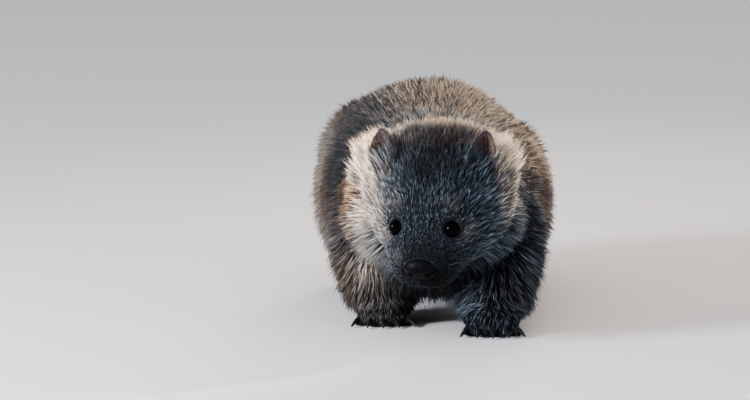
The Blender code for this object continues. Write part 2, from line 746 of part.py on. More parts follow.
def lock(place, kind, skin, rng, home):
    """One flat lock: three-sided rings that widen from the sunk root and taper to its tip."""
    size = LOCKS[kind]
    grow = 1 + LOCK_CHANGE * (2 * rng.random() - 1)
    turn = math.radians(LOCK_TURN * (2 * rng.random() - 1))
    bm = bmesh.new()
    at, up, _, _ = skin.find_nearest(place)
    rings, done = [], 0
    for share, breadth, rise in ((0, LOCK_ROOT, 0), *LOCK_STEPS, (1, 0, 1)):
        way = Matrix.Rotation(turn * (0.5 + share), 3, up) @ Vector(lie(kind, at))
        way = (way - up * way.dot(up)).normalized()
        at, up, _, _ = skin.find_nearest(at + way * size["long"] * grow * (share - done))
        done = share
        height = size["tip"] * rise if share else -LOCK_SUNK
        if not breadth:
            rings.append([bm.verts.new(at + up * height)])
            continue
        across = up.cross(way) * size["wide"] * breadth / 2
        ridge = height + size["ridge"] * min(1, breadth * 2)
        corners = (over(skin, at - across, height), over(skin, at + across, height))
        rings.append([bm.verts.new(point) for point in (*corners, at + up * ridge)])
    bm.faces.new(rings[0])
    for lower, upper in zip(rings, rings[1:]):
        for i in range(3):
            j = (i + 1) % 3
            if len(upper) == 1:
                bm.faces.new((lower[i], lower[j], upper[0]))
            else:
                bm.faces.new((lower[i], lower[j], upper[j], upper[i]))
    bmesh.ops.triangulate(bm, faces=bm.faces)
    return from_bmesh("lock", bm, home)


def shell_tree(obj, home):
    """A search tree of the object grown by the gap that its neighbours keep."""
    shell = grown(obj, GAP, "shell", home)
    tree = world_tree(shell)
    remove(shell)
    return tree


def grow_coat(carriers, others, skin, rng):
    """Grows locks on each carrier, drops what would cross another node, and fuses the rest."""
    beds = [carrier for carrier, _ in carriers] + others
    taken = []
    for obj, kind in carriers:
        home = collection("locks of " + obj.name)
        blockers = taken + [shell_tree(bed, home) for bed in beds if bed != obj]
        for place in roots(obj, kind, skin, rng):
            piece = lock(place, kind, skin, rng, home)
            around = shell_tree(piece, home)
            low = min(vert.co.z for vert in piece.data.vertices)
            if low < FLOOR_CLEARANCE or any(around.overlap(block) for block in blockers):
                remove(piece)
        taken += [world_tree(piece) for piece in home.objects]
    for obj, _ in carriers:
        home = bpy.data.collections["locks of " + obj.name]
        if home.objects:
            boolean(obj, "UNION", home, "MANIFOLD")
            remove(*home.objects)
        bpy.data.collections.remove(home)
        keep_largest(obj)


def centre_on_floor(objects):
    """Moves everything so that the origin is under the middle of the whole box."""
    points = np.vstack([np.array([v.co for v in obj.data.vertices]) for obj in objects])
    low, high = points.min(0), points.max(0)
    shift = Vector((-(low[0] + high[0]) / 2, -(low[1] + high[1]) / 2, -low[2]))
    for obj in objects:
        obj.data.transform(Matrix.Translation(shift))


def build():
    clear_scene()
    parts = collection("wombat")
    tools = collection("cutters")
    body = whole_body(tools)
    head = thinned(body, "head", HEAD_TRIANGLES, parts)
    trunk = thinned(body, "torso", BODY_TRIANGLES, parts)
    fine = thinned(body, "fine", FEET_TRIANGLES, tools)
    limbs = part_legs(trunk, head, fine, parts, tools)
    remove(fine)
    keep_largest(cut_at(head, HEAD_CUT, True))
    cut_at(trunk, HEAD_CUT, False)
    neck = keep_largest(cut_at(copy_of(trunk, "neck", parts), NECK_CUT, True))
    keep_largest(cut_at(trunk, NECK_CUT, False))
    ears = [make_ear(head, side, parts, tools) for side in SIDES]
    open_mouth(head, tools)
    nose = make_nose(head, parts, tools)
    eyes = [make_eye(head, side, parts, tools) for side in SIDES]
    tail = make_tail(trunk, parts, tools)
    claws = []
    for kind in ("fore", "hind"):
        for side in SIDES:
            claws += make_claws(limbs[f"{kind}foot_{side}"], kind, side, parts, tools)
    coated = [(head, "ruff"), (neck, "body"), (trunk, "body")]
    coated += [(limbs[f"{kind}leg_{side}"], "leg") for kind in ("fore", "hind") for side in SIDES]
    bare = [tail, nose, *ears, *eyes, *claws]
    bare += [limbs[f"{kind}foot_{side}"] for kind in ("fore", "hind") for side in SIDES]
    grow_coat(coated, bare, world_tree(body), np.random.default_rng(SEED))
    remove(body)
    finishes = (
        (paint("coat", COAT, 0.85), [trunk, neck, head, tail, *limbs.values()]),
        (paint("ear skin", EAR_SKIN, 0.7), ears),
        (paint("bare nose", BARE_SKIN, 0.45), [nose]),
        (paint("eye", EYE_GLASS, 0.05), eyes),
        (paint("claw", HORN, 0.5), claws),
    )
    everything = []
    for material, objects in finishes:
        for obj in objects:
            obj.data.materials.clear()
            obj.data.materials.append(material)
            obj.data.shade_smooth()
            everything.append(obj)
    centre_on_floor(everything)


build()
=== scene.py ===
"""Visual model of a bare-nosed wombat that walks with its head held low.

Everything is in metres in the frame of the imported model: the floor at z = 0, the
animal facing -Y, its left side at +X. One melted skin carries a coat of solid
tufts, and finer eyes, lids, ears, nose, lips and claws stand on it.
"""

import math

import bpy
import numpy as np
from bpy.props import FloatProperty, FloatVectorProperty, PointerProperty
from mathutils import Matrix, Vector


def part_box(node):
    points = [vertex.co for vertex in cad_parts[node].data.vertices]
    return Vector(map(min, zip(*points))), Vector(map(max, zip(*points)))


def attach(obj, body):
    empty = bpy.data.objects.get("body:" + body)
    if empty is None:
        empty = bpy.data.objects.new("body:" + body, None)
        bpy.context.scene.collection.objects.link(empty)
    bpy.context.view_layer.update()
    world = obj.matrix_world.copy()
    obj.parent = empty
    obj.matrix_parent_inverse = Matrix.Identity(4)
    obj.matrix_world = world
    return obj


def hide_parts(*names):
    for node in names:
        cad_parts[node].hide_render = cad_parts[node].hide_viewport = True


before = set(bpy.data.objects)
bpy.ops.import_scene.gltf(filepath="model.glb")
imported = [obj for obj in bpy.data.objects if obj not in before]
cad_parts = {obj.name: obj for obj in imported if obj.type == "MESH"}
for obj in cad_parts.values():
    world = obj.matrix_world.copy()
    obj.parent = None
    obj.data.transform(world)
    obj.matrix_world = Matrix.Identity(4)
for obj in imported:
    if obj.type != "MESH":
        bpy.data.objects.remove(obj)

bl_info = {
    "name": "Wombat",
    "version": (1, 0, 0),
    "blender": (4, 5, 0),
    "location": "3D View > Sidebar > Wombat",
    "description": "Builds the looks of a life-size wombat over its packed solids",
    "category": "Mesh",
}

SEED = 23
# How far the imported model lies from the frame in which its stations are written.
SHIFT = np.array((0.00062, -0.00470, 0.0))

# The trunk: place along Y, half width, top, widest level, bottom, sway of the back to its right.
TRUNK = np.array((
    (-0.300, 0.096, 0.274, 0.200, 0.122, 0.000),
    (-0.245, 0.122, 0.297, 0.192, 0.098, 0.000),
    (-0.150, 0.140, 0.310, 0.182, 0.086, 0.004),
    (-0.030, 0.160, 0.319, 0.174, 0.078, 0.009),
    (0.100, 0.174, 0.326, 0.170, 0.074, 0.013),
    (0.210, 0.178, 0.327, 0.168, 0.077, 0.014),
    (0.305, 0.162, 0.310, 0.170, 0.090, 0.011),
    (0.370, 0.128, 0.277, 0.174, 0.110, 0.006),
    (0.412, 0.080, 0.233, 0.178, 0.138, 0.000),
    (0.428, 0.030, 0.200, 0.180, 0.162, 0.000),
))
# The neck: place, level, half width, half height, and how far it leans with the head.
NECK = np.array((
    (-0.140, 0.202, 0.128, 0.098, 0),
    (-0.210, 0.206, 0.124, 0.098, 8),
    (-0.268, 0.212, 0.117, 0.093, 20),
    (-0.322, 0.214, 0.100, 0.070, 38),
))
# The head in its own frame, facing -Y: place along Y, half width, top, widest level, bottom, sway.
HEAD = np.array((
    (0.128, 0.050, 0.020, -0.006, -0.040, 0),
    (0.112, 0.080, 0.042, -0.004, -0.060, 0),
    (0.082, 0.098, 0.058, -0.008, -0.078, 0),
    (0.044, 0.106, 0.067, -0.014, -0.086, 0),
    (0.004, 0.101, 0.064, -0.020, -0.086, 0),
    (-0.032, 0.083, 0.053, -0.023, -0.079, 0),
    (-0.062, 0.066, 0.038, -0.024, -0.070, 0),
    (-0.088, 0.054, 0.024, -0.024, -0.063, 0),
    (-0.108, 0.047, 0.013, -0.024, -0.057, 0),
    (-0.120, 0.036, 0.003, -0.026, -0.050, 0),
))
HEAD_AT = np.array((-0.009, -0.360, 0.209)) + SHIFT
HEAD_DIP, HEAD_TURN = 47, -15
# Powers of the superellipses above and below the widest level.
TRUNK_POWERS, NECK_POWERS, HEAD_POWERS = (1.88, 2.7), (2, 2.3), (2.15, 2.4)
SIDES = {"left": 1, "right": -1}

# The legs: the tube down to each foot as (x, y, z, radius) on the left side, and the feet.
STRIDE = {"fore": {"left": -0.048, "right": 0.048}, "hind": {"left": 0.036, "right": -0.036}}
HIP_RAISE = {"fore": {"left": 0, "right": 0}, "hind": {"left": -0.006, "right": 0.020}}
LEG = {
    "fore": ((0.064, -0.140, 0.204, 0.068), (0.094, -0.150, 0.140, 0.061),
             (0.092, -0.172, 0.075, 0.051), (0.082, -0.188, 0.030, 0.042)),
    "hind": ((0.092, 0.235, 0.195, 0.086), (0.118, 0.200, 0.125, 0.066),
             (0.114, 0.240, 0.070, 0.048), (0.112, 0.262, 0.030, 0.036)),
}
FOOT = {
    "fore": {"at": (0.081, -0.205), "half": (0.043, 0.048, 0.028), "toes": 5, "spread": 62},
    "hind": {"at": (0.112, 0.222), "half": (0.036, 0.066, 0.026), "toes": 5, "spread": 52},
}
TAIL = ((0, 0.414, 0.197, 0.0125), (0, 0.428, 0.185, 0.013), (0, 0.442, 0.173, 0.011),
        (0, 0.4505, 0.1655, 0.006))
SOLE_SUNK = 0.005
TOE_HALF = (0.0092, 0.0140, 0.0125)
CLAW_LENGTH = {"fore": 0.024, "hind": 0.020}
CLAW_RADIUS, CLAW_CLEARANCE = 0.0042, 0.0004

EYE_LOOK, EYE_RADIUS = (0.62, -0.42, 0.66), 0.0112
LID_STEPS, LID_AROUND, LID_GAP = 25, 96, 0.0003
EAR_ROOT = {"left": (0.0619, -0.3849, 0.2758), "right": (-0.0792, -0.3470, 0.2758)}
EAR_SEAT = (0, 0.004, 0.0150)
EAR_HALF = (0.0190, 0.0110, 0.0300)
EAR_TIP_TAPER, EAR_SPLAY, EAR_FACES_OUT, EAR_SHRINK = 0.22, 12, 20, 0.86
EAR_DISH, EAR_ROLL = 0.0105, 0.0016
NOSE_AT, NOSE_HALF = (0.0, -0.1125, -0.0075), (0.0245, 0.0125, 0.0170)
MOUTH_LEVEL, MOUTH_CORNER = -0.0375, -0.070
FLESH = ("torso", "neck", "head", "tail", "foreleg_left", "foreleg_right", "hindleg_left",
         "hindleg_right", "forefoot_left", "forefoot_right", "hindfoot_left", "hindfoot_right")

# Patches of the body. Each has its full share, then its edges: a coordinate, where the patch is 0
# along it, and where it is full. Span and wide are the distances from the model's and the head's
# middle, hem is wide with the lower edge of the ruff drawn in, and gullet leans to the left.
PATCHES = {
    # Depth, lie and kind of the hair.
    "head skin": (1, ("along", 0.150, 0.085), ("rise", -0.150, -0.100)),
    "low skin": (1, ("z", 0.135, 0.050)),
    "cheek skin": (1, ("along", -0.085, 0.020)),
    "nape skin": (1, ("along", 0.03, 0.10)),
    "foot skin": (1, ("z", 0.060, 0.030)),
    "under": (1, ("z", 0.150, 0.100), ("span", 0.100, 0.060), ("rise", -0.080, -0.120)),
    "rump lie": (1, ("y", 0.26, 0.40)),
    "leg lie": (1, ("z", 0.135, 0.075), ("span", 0.02, 0.06)),
    "toe lie": (1, ("z", 0.045, 0.020)),
    "head lie": (1, ("along", 0.175, 0.085), ("rise", -0.170, -0.110)),
    "face hair": (1, ("along", 0.090, 0.030), ("rise", -0.150, -0.100)),
    "ruff hair": (1, ("along", 0.035, 0.085), ("along", 0.230, 0.150), ("rise", -0.16, -0.09)),
    "ruff lift": (8, ("wide", 0.05, 0.09)),
    "low ruff lift": (2.2, ("rise", -0.02, -0.06)),
    "beard": (0.60, ("rise", -0.025, -0.060), ("along", -0.090, -0.040)),
    "foot hair": (1, ("z", 0.050, 0.025)),
    "shank hair": (1, ("z", 0.120, 0.055), ("span", 0.02, 0.05)),
    "outer hair": (1, ("span", 0.100, 0.150), ("z", 0.210, 0.150), ("z", 0.05, 0.09)),
    "collar": (1, ("wide", 0.070, 0.095), ("along", 0.02, 0.06), ("along", 0.15, 0.12),
               ("rise", -0.055, -0.010)),
    # Cream.
    # The animal's right side of the face faces the key light: cream there is partly painted light, and
    # the dimmer left ruff is partly painted shade.
    "right face": (1, ("side", 0.010, -0.060)),
    "ruff": (1, ("along", 0.015, 0.050), ("along", 0.152, 0.122), ("wide", 0.074, 0.098),
             ("hem", 0.156, 0.136), ("rise", -0.150, -0.060)),
    "shaded left ruff": (0.78, ("rise", 0.030, -0.020)),
    # Painted rim light: the pale and warm band on the nape stands for backlight on upright hair tips.
    "nape": (0.50, ("along", 0.080, 0.094), ("along", 0.128, 0.104), ("rise", -0.05, -0.01)),
    "cheek": (1, ("wide", 0.076, 0.104), ("along", -0.055, -0.015), ("along", 0.09, 0.05),
              ("rise", -0.190, -0.120)),
    "cheek edge": (0.85, ("wide", 0.096, 0.112)),
    # Partly painted light: temple and brow are pale only on the animal's right, the lit side.
    "temple": (0.34, ("side", -0.046, -0.066), ("along", -0.100, -0.070), ("along", 0.05, 0.0)),
    "brow": (0.16, ("side", -0.025, -0.065), ("along", -0.07, -0.03), ("along", 0.09, 0.05)),
    "foreleg": (0.80, ("x", -0.068, -0.095), ("x", -0.124, -0.106), ("y", -0.10, -0.16),
                ("z", 0.050, 0.105), ("z", 0.210, 0.170)),
    # Painted rim light along the outlines of flank and rump.
    "flank rim light": (0.56, ("y", 0.02, 0.11), ("span", 0.12, 0.160)),
    "rump rim light": (0.20, ("y", 0.19, 0.27), ("z", 0.26, 0.30)),
    "brown jowl": (0.80, ("x", -0.091, -0.106), ("y", -0.16, -0.20), ("z", 0.105, 0.130),
                   ("z", 0.232, 0.200)),
    # Painted shade: a darker band across the right cheek.
    "shaded cheek band": (0.32, ("rise", -0.060, -0.030), ("rise", 0.012, -0.012)),
    # Warm brown.
    "forequarter": (1, ("span", 0.080, 0.150), ("y", -0.180, -0.040)),
    "side": (1, ("span", 0.09, 0.15)),
    "rear": (1, ("y", 0.24, 0.34)),
    "shoulder": (0.35, ("y", -0.20, -0.10)),
    "hindquarter": (0.85, ("y", 0.04, 0.16)),
    "shank": (1, ("z", 0.17, 0.08), ("span", 0.04, 0.10)),
    "right shank": (0.45, ("x", 0.03, -0.03)),
    "off middle": (1, ("span", 0.05, 0.11)),
    "warm neck": (0.6, ("along", 0.06, 0.10)),
    "right shoulder": (0.85, ("x", -0.085, -0.112), ("y", -0.05, -0.10), ("z", 0.25, 0.21)),
    # Dark.
    # Partly painted light: the dark muzzle reaches less far on the animal's right, the lit side.
    "right snout": (0.25, ("side", -0.010, -0.035)),
    "crown": (0.90, ("rise", 0, 0.03), ("along", 0.092, 0.078)),
    # Partly painted shade: throat, chin, the hollow and the inner legs are dark hair and also stand for
    # shade under the head, under the body and between the legs.
    "throat": (0.85, ("z", 0.175, 0.115), ("gullet", 0.100, 0.060), ("y", 0.42, 0.30)),
    "left throat": (0.35, ("x", 0.02, 0.05), ("y", 0.0, -0.1)),
    "chin": (0.85, ("rise", -0.045, -0.070), ("wide", 0.060, 0.030), ("along", 0.16, 0.10)),
    "hollow": (0.85, ("along", 0.122, 0.155), ("along", 0.290, 0.210), ("span", 0.060, 0.10),
               ("rise", -0.240, -0.200), ("z", 0.08, 0.15)),
    "inner leg": (0.9, ("z", 0.13, 0.07), ("span", 0.085, 0.050)),
    "left inner leg": (0.4, ("x", 0.0, 0.03)),
    "left shin": (0.25, ("x", 0.03, 0.07), ("y", -0.10, -0.16), ("z", 0.16, 0.11)),
    "feet": (0.55, ("z", 0.075, 0.030)),
    "left foreleg": (0.80, ("x", 0.02, 0.06), ("y", -0.08, -0.14), ("z", 0.21, 0.17)),
    "saddle": (1, ("y", -0.15, -0.09), ("y", 0.32, 0.24), ("z", 0.19, 0.25), ("span", 0.150, 0.115)),
    "saddle edge": (0.25, ("span", 0.03, 0.08)),
    "outer right": (0.35, ("x", -0.118, -0.134), ("y", -0.08, -0.14), ("z", 0.22, 0.17)),
}
# Soft round spots as centre, reach and share: by the left ear in the model's frame, and by the
# right ear and round the eyes in the head's. The ruff spots are pale ruff hair with painted backlight
# on it.
LEFT_RUFF_BACKLIT_SPOTS = (((0.074, -0.350, 0.270), 0.030, 1), ((0.089, -0.340, 0.238), 0.021, 1),
                   ((0.101, -0.322, 0.212), 0.014, 1))
RIGHT_RUFF_BACKLIT_SPOTS = (((-0.104, 0.080, 0.008), 0.028, 1),)
GREY_SPOTS = (((0.063, -0.060, 0.006), 0.013, 0.42), ((-0.063, -0.063, 0.006), 0.015, 0.55),
              ((0.042, -0.040, 0.046), 0.012, 0.34), ((-0.034, -0.103, 0.004), 0.010, 0.34),
              ((-0.044, -0.036, 0.044), 0.012, 0.30))
MUZZLE_AT = (0, -0.115, -0.022)

# The skin's depth under the solids, and less of it on low skin and more on cheeks and nape.
TRUNK_DEPTH, LOW_DEPTH_LESS, SNOUT_DEPTH, HEAD_DEPTH_MORE = 0.0110, 0.0065, 0.0022, 0.0040
EYE_DEPTH, FOOT_DEPTH, SKIN_CLEARANCE = 0.0056, 0.0018, 0.0008
MELT_VOXEL, MELT_PASSES = 0.0045, 14
# Extra lengths of hair, roots in a square metre, and widths of a tuft.
CHEST_HAIR, COLLAR_HAIR, EAR_BASE_HAIR, FOOT_HAIR = 0.040, 0.020, 0.008, 0.0145
EAR_HAIR, EAR_EDGE_HAIR = 0.0060, 0.0085
BODY_CROWD, RUFF_CROWD_MORE, FACE_CROWD, JAW_CROWD_LESS = 2.8e5, 0.5e5, 5.8e5, 1.5e5
FOOT_CROWD, EAR_CROWD, EAR_CUP_CROWD = 3.2e5, 9.0e5, 1.2e5
FACE_TUFT, JAW_TUFT_MORE, FOOT_TUFT, EAR_TUFT = 0.00125, 0.00045, 0.0012, 0.0007
ROOT_SUNK, KNEE_SHARE, TUFT_POINTS, TUFT_CLEARANCE = 0.0016, 0.40, 5, 0.0006
GUARD_SHARE, CLUMP_CELL, BAKE_PATCH = 0.26, 0.24, 0.003
# Where no hair grows: shares of the nose pad's and the ear's size, height of the soles, distance
# from the eye's axis, and how far behind the eyeball's middle that counts.
BARE_NOSE, BARE_EAR, BARE_SOLE, BARE_EYE, BARE_BEHIND_EYE = 1.02, 0.92, 0.0030, 0.0130, 0.006
# Edges between the pieces of the coat.
HEAD_COAT_END, HEAD_COAT_LOW, HEAD_COAT_FLOOR, MIDDLE_HALF = 0.095, -0.135, 0.085, 0.030
LEG_COAT_TOP, LEG_COAT_INSIDE, NECK_COAT_END, SHOULDER_COAT_END = 0.095, 0.03, -0.155, 0.11
# Axes that the bake map goes round: of the legs as distance from the middle and place along Y,
# and of the trunk as its height.
LEG_AXIS, FORELEG_AXIS, HINDLEG_AXIS, TRUNK_AXIS = 0.095, -0.19, 0.235, 0.18
WHISKER_ROWS, WHISKERS_IN_ROW, WHISKER_RADIUS = 4, 6, 0.00028

FLOOR_RADIUS, FLOOR_SIDES = 40, 64
CAMERA_AIM = np.array((-0.093, 0, 0.1645))
CONTRAST = "AgX - Medium High Contrast"
# Lights: name, place, aim, size, the setting that powers it and its share, colour, spread.
LIGHTS = (
    ("sky panel", (0, 1.5, 7), (0, 1.5, 0), 24, "panel", 1, "#eaf0fa", 180),
    ("key", (-3.2, -2.0, 1.5), (0, -0.1, 0.15), 1.2, "key", 1, "#f2f5ff", 180),
    ("left accent", (2.1, 1.4, 1.6), (0.092, -0.32, 0.280), 0.12, "accent", 0.20, "#ffe2c0", 5),
    ("right accent", (-2.4, 1.3, 1.05), (-0.13, -0.28, 0.285), 0.12, "accent", 0.48, "#ffe2c0", 5),
    ("fill", (3.4, -3.2, 1.4), (0, -0.1, 0.15), 2.4, "key", 0.20, "#dbe7ff", 180),
    ("back light", (0.9, 4.3, 1.9), (0, 0.1, 0.25), 1.2, "rim", 1, "#ffdcba", 40),
)


# Arithmetic on whole arrays.


def linear(text):
    """A hex sRGB colour as linear red, green, blue and alpha."""
    share = np.array([int(text[i:i + 2], 16) for i in (1, 3, 5)]) / 255
    return (*np.where(share <= 0.04045, share / 12.92, ((share + 0.055) / 1.055) ** 2.4), 1.0)


def step(value, low, high):
    """A smooth step from 0 at low to 1 at high: 3t^2 - 2t^3 of the share t between them."""
    t = np.clip((value - low) / (high - low), 0, 1)
    return t * t * (3 - 2 * t)


def unit(ways):
    """Vectors scaled to length one."""
    return ways / np.maximum(np.linalg.norm(ways, axis=-1, keepdims=True), 1e-12)


def dot(a, b):
    """The scalar product of rows, kept as a column."""
    return np.sum(a * b, axis=-1, keepdims=True)


def blend(first, second, share):
    """The first value, which gives way to the second by its share."""
    return first * (1 - share) + second * share


def turned(axis, degrees):
    """The matrix of a turn about one axis of the frame."""
    c, s = math.cos(math.radians(degrees)), math.sin(math.radians(degrees))
    if axis == "X":
        return np.array(((1, 0, 0), (0, c, -s), (0, s, c)))
    if axis == "Y":
        return np.array(((c, 0, s), (0, 1, 0), (-s, 0, c)))
    return np.array(((c, -s, 0), (s, c, 0), (0, 0, 1)))


HEAD_WAYS = turned("Z", HEAD_TURN) @ turned("X", HEAD_DIP)


def in_head(place):
    """Points in the head's own frame, which faces -Y with its crown at +Z."""
    return (place - HEAD_AT) @ HEAD_WAYS


def from_head(place):
    """Points of the head's own frame in the model's frame."""
    return np.asarray(place) @ HEAD_WAYS.T + HEAD_AT


def ripple(place, size, seed):
    """Smooth noise from about -1 to 1: the mean of eight sine waves about size long."""
    rng = np.random.default_rng(seed)
    ways = unit(rng.normal(size=(8, 3))) * 2 * np.pi / size * rng.uniform(0.6, 1.5, (8, 1))
    return np.sin(place @ ways.T + rng.uniform(0, 2 * np.pi, 8)).mean(1) * 2


def curve_through(rows, steps):
    """Rows between the given ones on one Catmull-Rom curve, each column by itself."""
    rows = np.asarray(rows, float)
    padded = np.vstack([2 * rows[0] - rows[1], rows, 2 * rows[-1] - rows[-2]])
    a, b, c, d = padded[:-3], padded[1:-2], padded[2:-1], padded[3:]
    t = (np.arange(steps) / steps)[:, None, None]
    curve = 2 * b + (c - a) * t + (2 * a - 5 * b + 4 * c - d) * t**2
    curve = (curve + (3 * b - a - 3 * c + d) * t**3) / 2
    return np.vstack([curve.transpose(1, 0, 2).reshape(-1, rows.shape[1]), rows[-1:]])


def superellipse(half_width, rise, drop, above, below, around=56):
    """Ring points: x = half width * cos^(2/n), z = rise or drop * sin^(2/n), signs kept."""
    turn = np.linspace(0, 2 * np.pi, around, endpoint=False)
    c, s = np.cos(turn), np.sin(turn)
    power = np.where(s > 0, 2 / above, 2 / below)
    x = half_width * np.sign(c) * np.abs(c) ** power
    z = np.where(s > 0, rise, drop) * np.sign(s) * np.abs(s) ** power
    return x, z


def body_rings(stations, above, below):
    """Superellipse rings along Y; above its widest level each is swayed by the square of xz."""
    y, half, top, wide, bottom, sway = curve_through(stations, 6).T[..., None]
    x, z = superellipse(half, top - wide, wide - bottom, above, below)
    x = x - sway * np.where(z > 0, (2 * x * z / (half * (top - wide))) ** 2, 0)
    return np.stack([x, np.broadcast_to(y, x.shape), wide + z], -1)


def neck_rings():
    """Superellipse rings that lean forward and turn with the head by their share of the way."""
    y, level, half, tall, lean = curve_through(NECK, 6).T[..., None]
    x, z = superellipse(half, tall, tall, *NECK_POWERS)
    share = (NECK[0, 0] - y) / (NECK[0, 0] - NECK[-1, 0])
    lean, turn = np.radians(lean), np.radians(HEAD_TURN * share)
    back = -z * np.sin(lean)
    across = x * np.cos(turn) - back * np.sin(turn) + (HEAD_AT - SHIFT)[0] * share
    along = x * np.sin(turn) + back * np.cos(turn) + y
    return np.stack([across, along, level + z * np.cos(lean)], -1)


def tube_rings(path, around=24, steps=6, upward=(0, 1, 0)):
    """Rings of changing radius square to a smooth path of (x, y, z, radius) points."""
    rows = curve_through(path, steps)
    centre, radius = rows[:, :3], rows[:, 3]
    way = unit(np.gradient(centre, axis=0))
    side = unit(np.cross(way, upward))
    up = np.cross(side, way)
    turn = np.linspace(0, 2 * np.pi, around, endpoint=False)
    ring = np.cos(turn)[:, None] * side[:, None] + np.sin(turn)[:, None] * up[:, None]
    return centre[:, None] + ring * radius[:, None, None]


def ball_rings(centre, half, ways=np.eye(3), around=24, rows=13):
    """Rings of an ellipsoid from one pole to the other along its own Z."""
    dip = np.linspace(0.02, np.pi - 0.02, rows)[:, None]
    turn = np.linspace(0, 2 * np.pi, around, endpoint=False)
    shape = np.stack(np.broadcast_arrays(np.sin(dip) * np.cos(turn), np.sin(dip) * np.sin(turn),
                                         np.cos(dip)), -1)
    return (shape * half) @ np.asarray(ways).T + centre


# Meshes.


def tube_faces(rings, around):
    """Triangles between the rings of a round grid and from each end ring to its middle point."""
    i, j = np.meshgrid(np.arange(rings - 1), np.arange(around), indexing="ij")
    a, b = i * around + j, i * around + (j + 1) % around
    sides = np.stack([a, b, b + around, a, b + around, a + around], -1).reshape(-1, 3)
    j = np.arange(around)
    near, far = rings * around, rings * around + 1
    last = (rings - 1) * around
    first_cap = np.stack([np.full(around, near), (j + 1) % around, j], -1)
    last_cap = np.stack([np.full(around, far), last + j, last + (j + 1) % around], -1)
    return np.vstack([sides, first_cap, last_cap])


def closed(rings):
    """Points and triangles of one closed round grid, turned so that its faces point outwards."""
    count, around = rings.shape[:2]
    place = np.vstack([rings.reshape(-1, 3), rings[0].mean(0), rings[-1].mean(0)])
    corner = tube_faces(count, around)
    a, b, c = place[corner].transpose(1, 0, 2)
    if np.sum(np.cross(a - place.mean(0), b - place.mean(0)) * (c - place.mean(0))) < 0:
        corner = corner[:, ::-1]
    return place, corner


def joined(pieces):
    """Many (points, triangles) pairs as one."""
    counts = np.cumsum([0] + [len(place) for place, _ in pieces[:-1]])
    return (np.vstack([place for place, _ in pieces]),
            np.vstack([corner + first for (_, corner), first in zip(pieces, counts)]))


def solid(name, place, corner, material=None):
    """A new smooth object of triangles, linked to the scene."""
    mesh = bpy.data.meshes.new(name)
    mesh.vertices.add(len(place))
    mesh.vertices.foreach_set("co", np.asarray(place, np.float32).ravel())
    mesh.loops.add(len(corner) * 3)
    mesh.loops.foreach_set("vertex_index", np.asarray(corner, np.int32).ravel())
    mesh.polygons.add(len(corner))
    mesh.polygons.foreach_set("loop_start", np.arange(0, len(corner) * 3, 3, dtype=np.int32))
    mesh.update(calc_edges=True)
    mesh.validate()
    mesh.shade_smooth()
    if material:
        mesh.materials.append(material)
    obj = bpy.data.objects.new(name, mesh)
    bpy.context.scene.collection.objects.link(obj)
    return obj


def surface(obj):
    """A piece's points, point normals and triangles as arrays."""
    mesh = obj.data
    mesh.calc_loop_triangles()
    place, way = (np.empty(len(mesh.vertices) * 3) for _ in range(2))
    corner = np.empty(len(mesh.loop_triangles) * 3, np.int32)
    mesh.vertices.foreach_get("co", place)
    mesh.vertices.foreach_get("normal", way)
    mesh.loop_triangles.foreach_get("vertices", corner)
    return place.reshape(-1, 3), way.reshape(-1, 3), corner.reshape(-1, 3)


def hold(obj, name, kind, values):
    """Stores one value or colour for each point of the mesh."""
    layer = obj.data.attributes.new(name, kind, "POINT")
    key = "value" if kind == "FLOAT" else "color"
    layer.data.foreach_set(key, np.asarray(values, np.float32).ravel())


def place_piece(obj, slot, *nodes):
    """Fixes a finished piece to the body and hides the nodes it stands for; the slot is not used."""
    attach(obj, "root")
    if nodes:
        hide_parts(*nodes)
    return obj


# Where things are on the animal.


def coordinates(place):
    """Each point's coordinates by name, in the model's frame and in the head's."""
    x, y, z = place.T
    side, along, rise = in_head(place).T
    wide = np.abs(side)
    return {"x": x, "y": y, "z": z, "span": np.abs(x), "gullet": np.where(x < 0, 0.02 - x, x),
            "side": side, "along": along, "rise": rise, "wide": wide,
            "hem": wide + 0.040 * step(rise, 0.010, -0.025)}


def patch(at, name):
    """A patch at each point: its full share times a smooth step at each of its edges."""
    share, *edges = PATCHES[name]
    for coordinate, none, full in edges:
        share = share * step(at[coordinate], none, full)
    return share


def spots(place, rows):
    """The strongest of some round spots: share * exp(-(distance / reach)^2)."""
    return np.maximum.reduce([share * np.exp(-((np.linalg.norm(place - centre, axis=1) / reach) ** 2))
                              for centre, reach, share in rows])


def foot_centre(kind, side):
    """The middle of a foot, sunk a little so that its sole is flat on the floor."""
    x, y = FOOT[kind]["at"]
    return np.array((SIDES[side] * x, y + STRIDE[kind][side], FOOT[kind]["half"][2] - SOLE_SUNK))


def toes(kind, side):
    """Each toe's centre and the way it points, fanned round the front of the paw."""
    foot, centre = FOOT[kind], foot_centre(kind, side)
    share = np.arange(foot["toes"]) / (foot["toes"] - 1) - 0.5
    turn = math.radians(foot["spread"]) * share
    way = unit(np.stack([np.sin(turn) * 0.8, -np.cos(turn * 0.9), turn * 0], -1))
    reach = np.stack([foot["half"][0] * 1.55 * share, -foot["half"][1] * (0.92 - 0.9 * share**2),
                      turn * 0 + TOE_HALF[2] - SOLE_SUNK - centre[2]], -1)
    return centre + reach, way


def leg_path(kind, side):
    """The leg's path with its lower joints moved by the stride and its top by the hip."""
    rows = np.array(LEG[kind])
    share = np.linspace(0, 1, len(rows)) ** 1.2
    rows[:, 0] *= SIDES[side]
    rows[:, 1] += STRIDE[kind][side] * share
    rows[:, 2] += HIP_RAISE[kind][side] * (1 - share)
    return rows


def eye_ways(side):
    """The eyeball's centre, and its axes as columns: across, back into the head, and up."""
    low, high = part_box(f"eye_{side}")
    look = HEAD_WAYS @ (np.array(EYE_LOOK) * (SIDES[side], 1, 1))
    back = -unit(look)
    across = unit(np.cross(back, HEAD_WAYS @ (0, 0, 1)))
    return np.array((low + high) / 2), np.stack([across, back, np.cross(across, back)], -1)


def round_eye(place, side, full, none):
    """1 within one distance of the eyeball's centre, and 0 beyond another."""
    return step(np.linalg.norm(place - eye_ways(side)[0], axis=1), none, full)


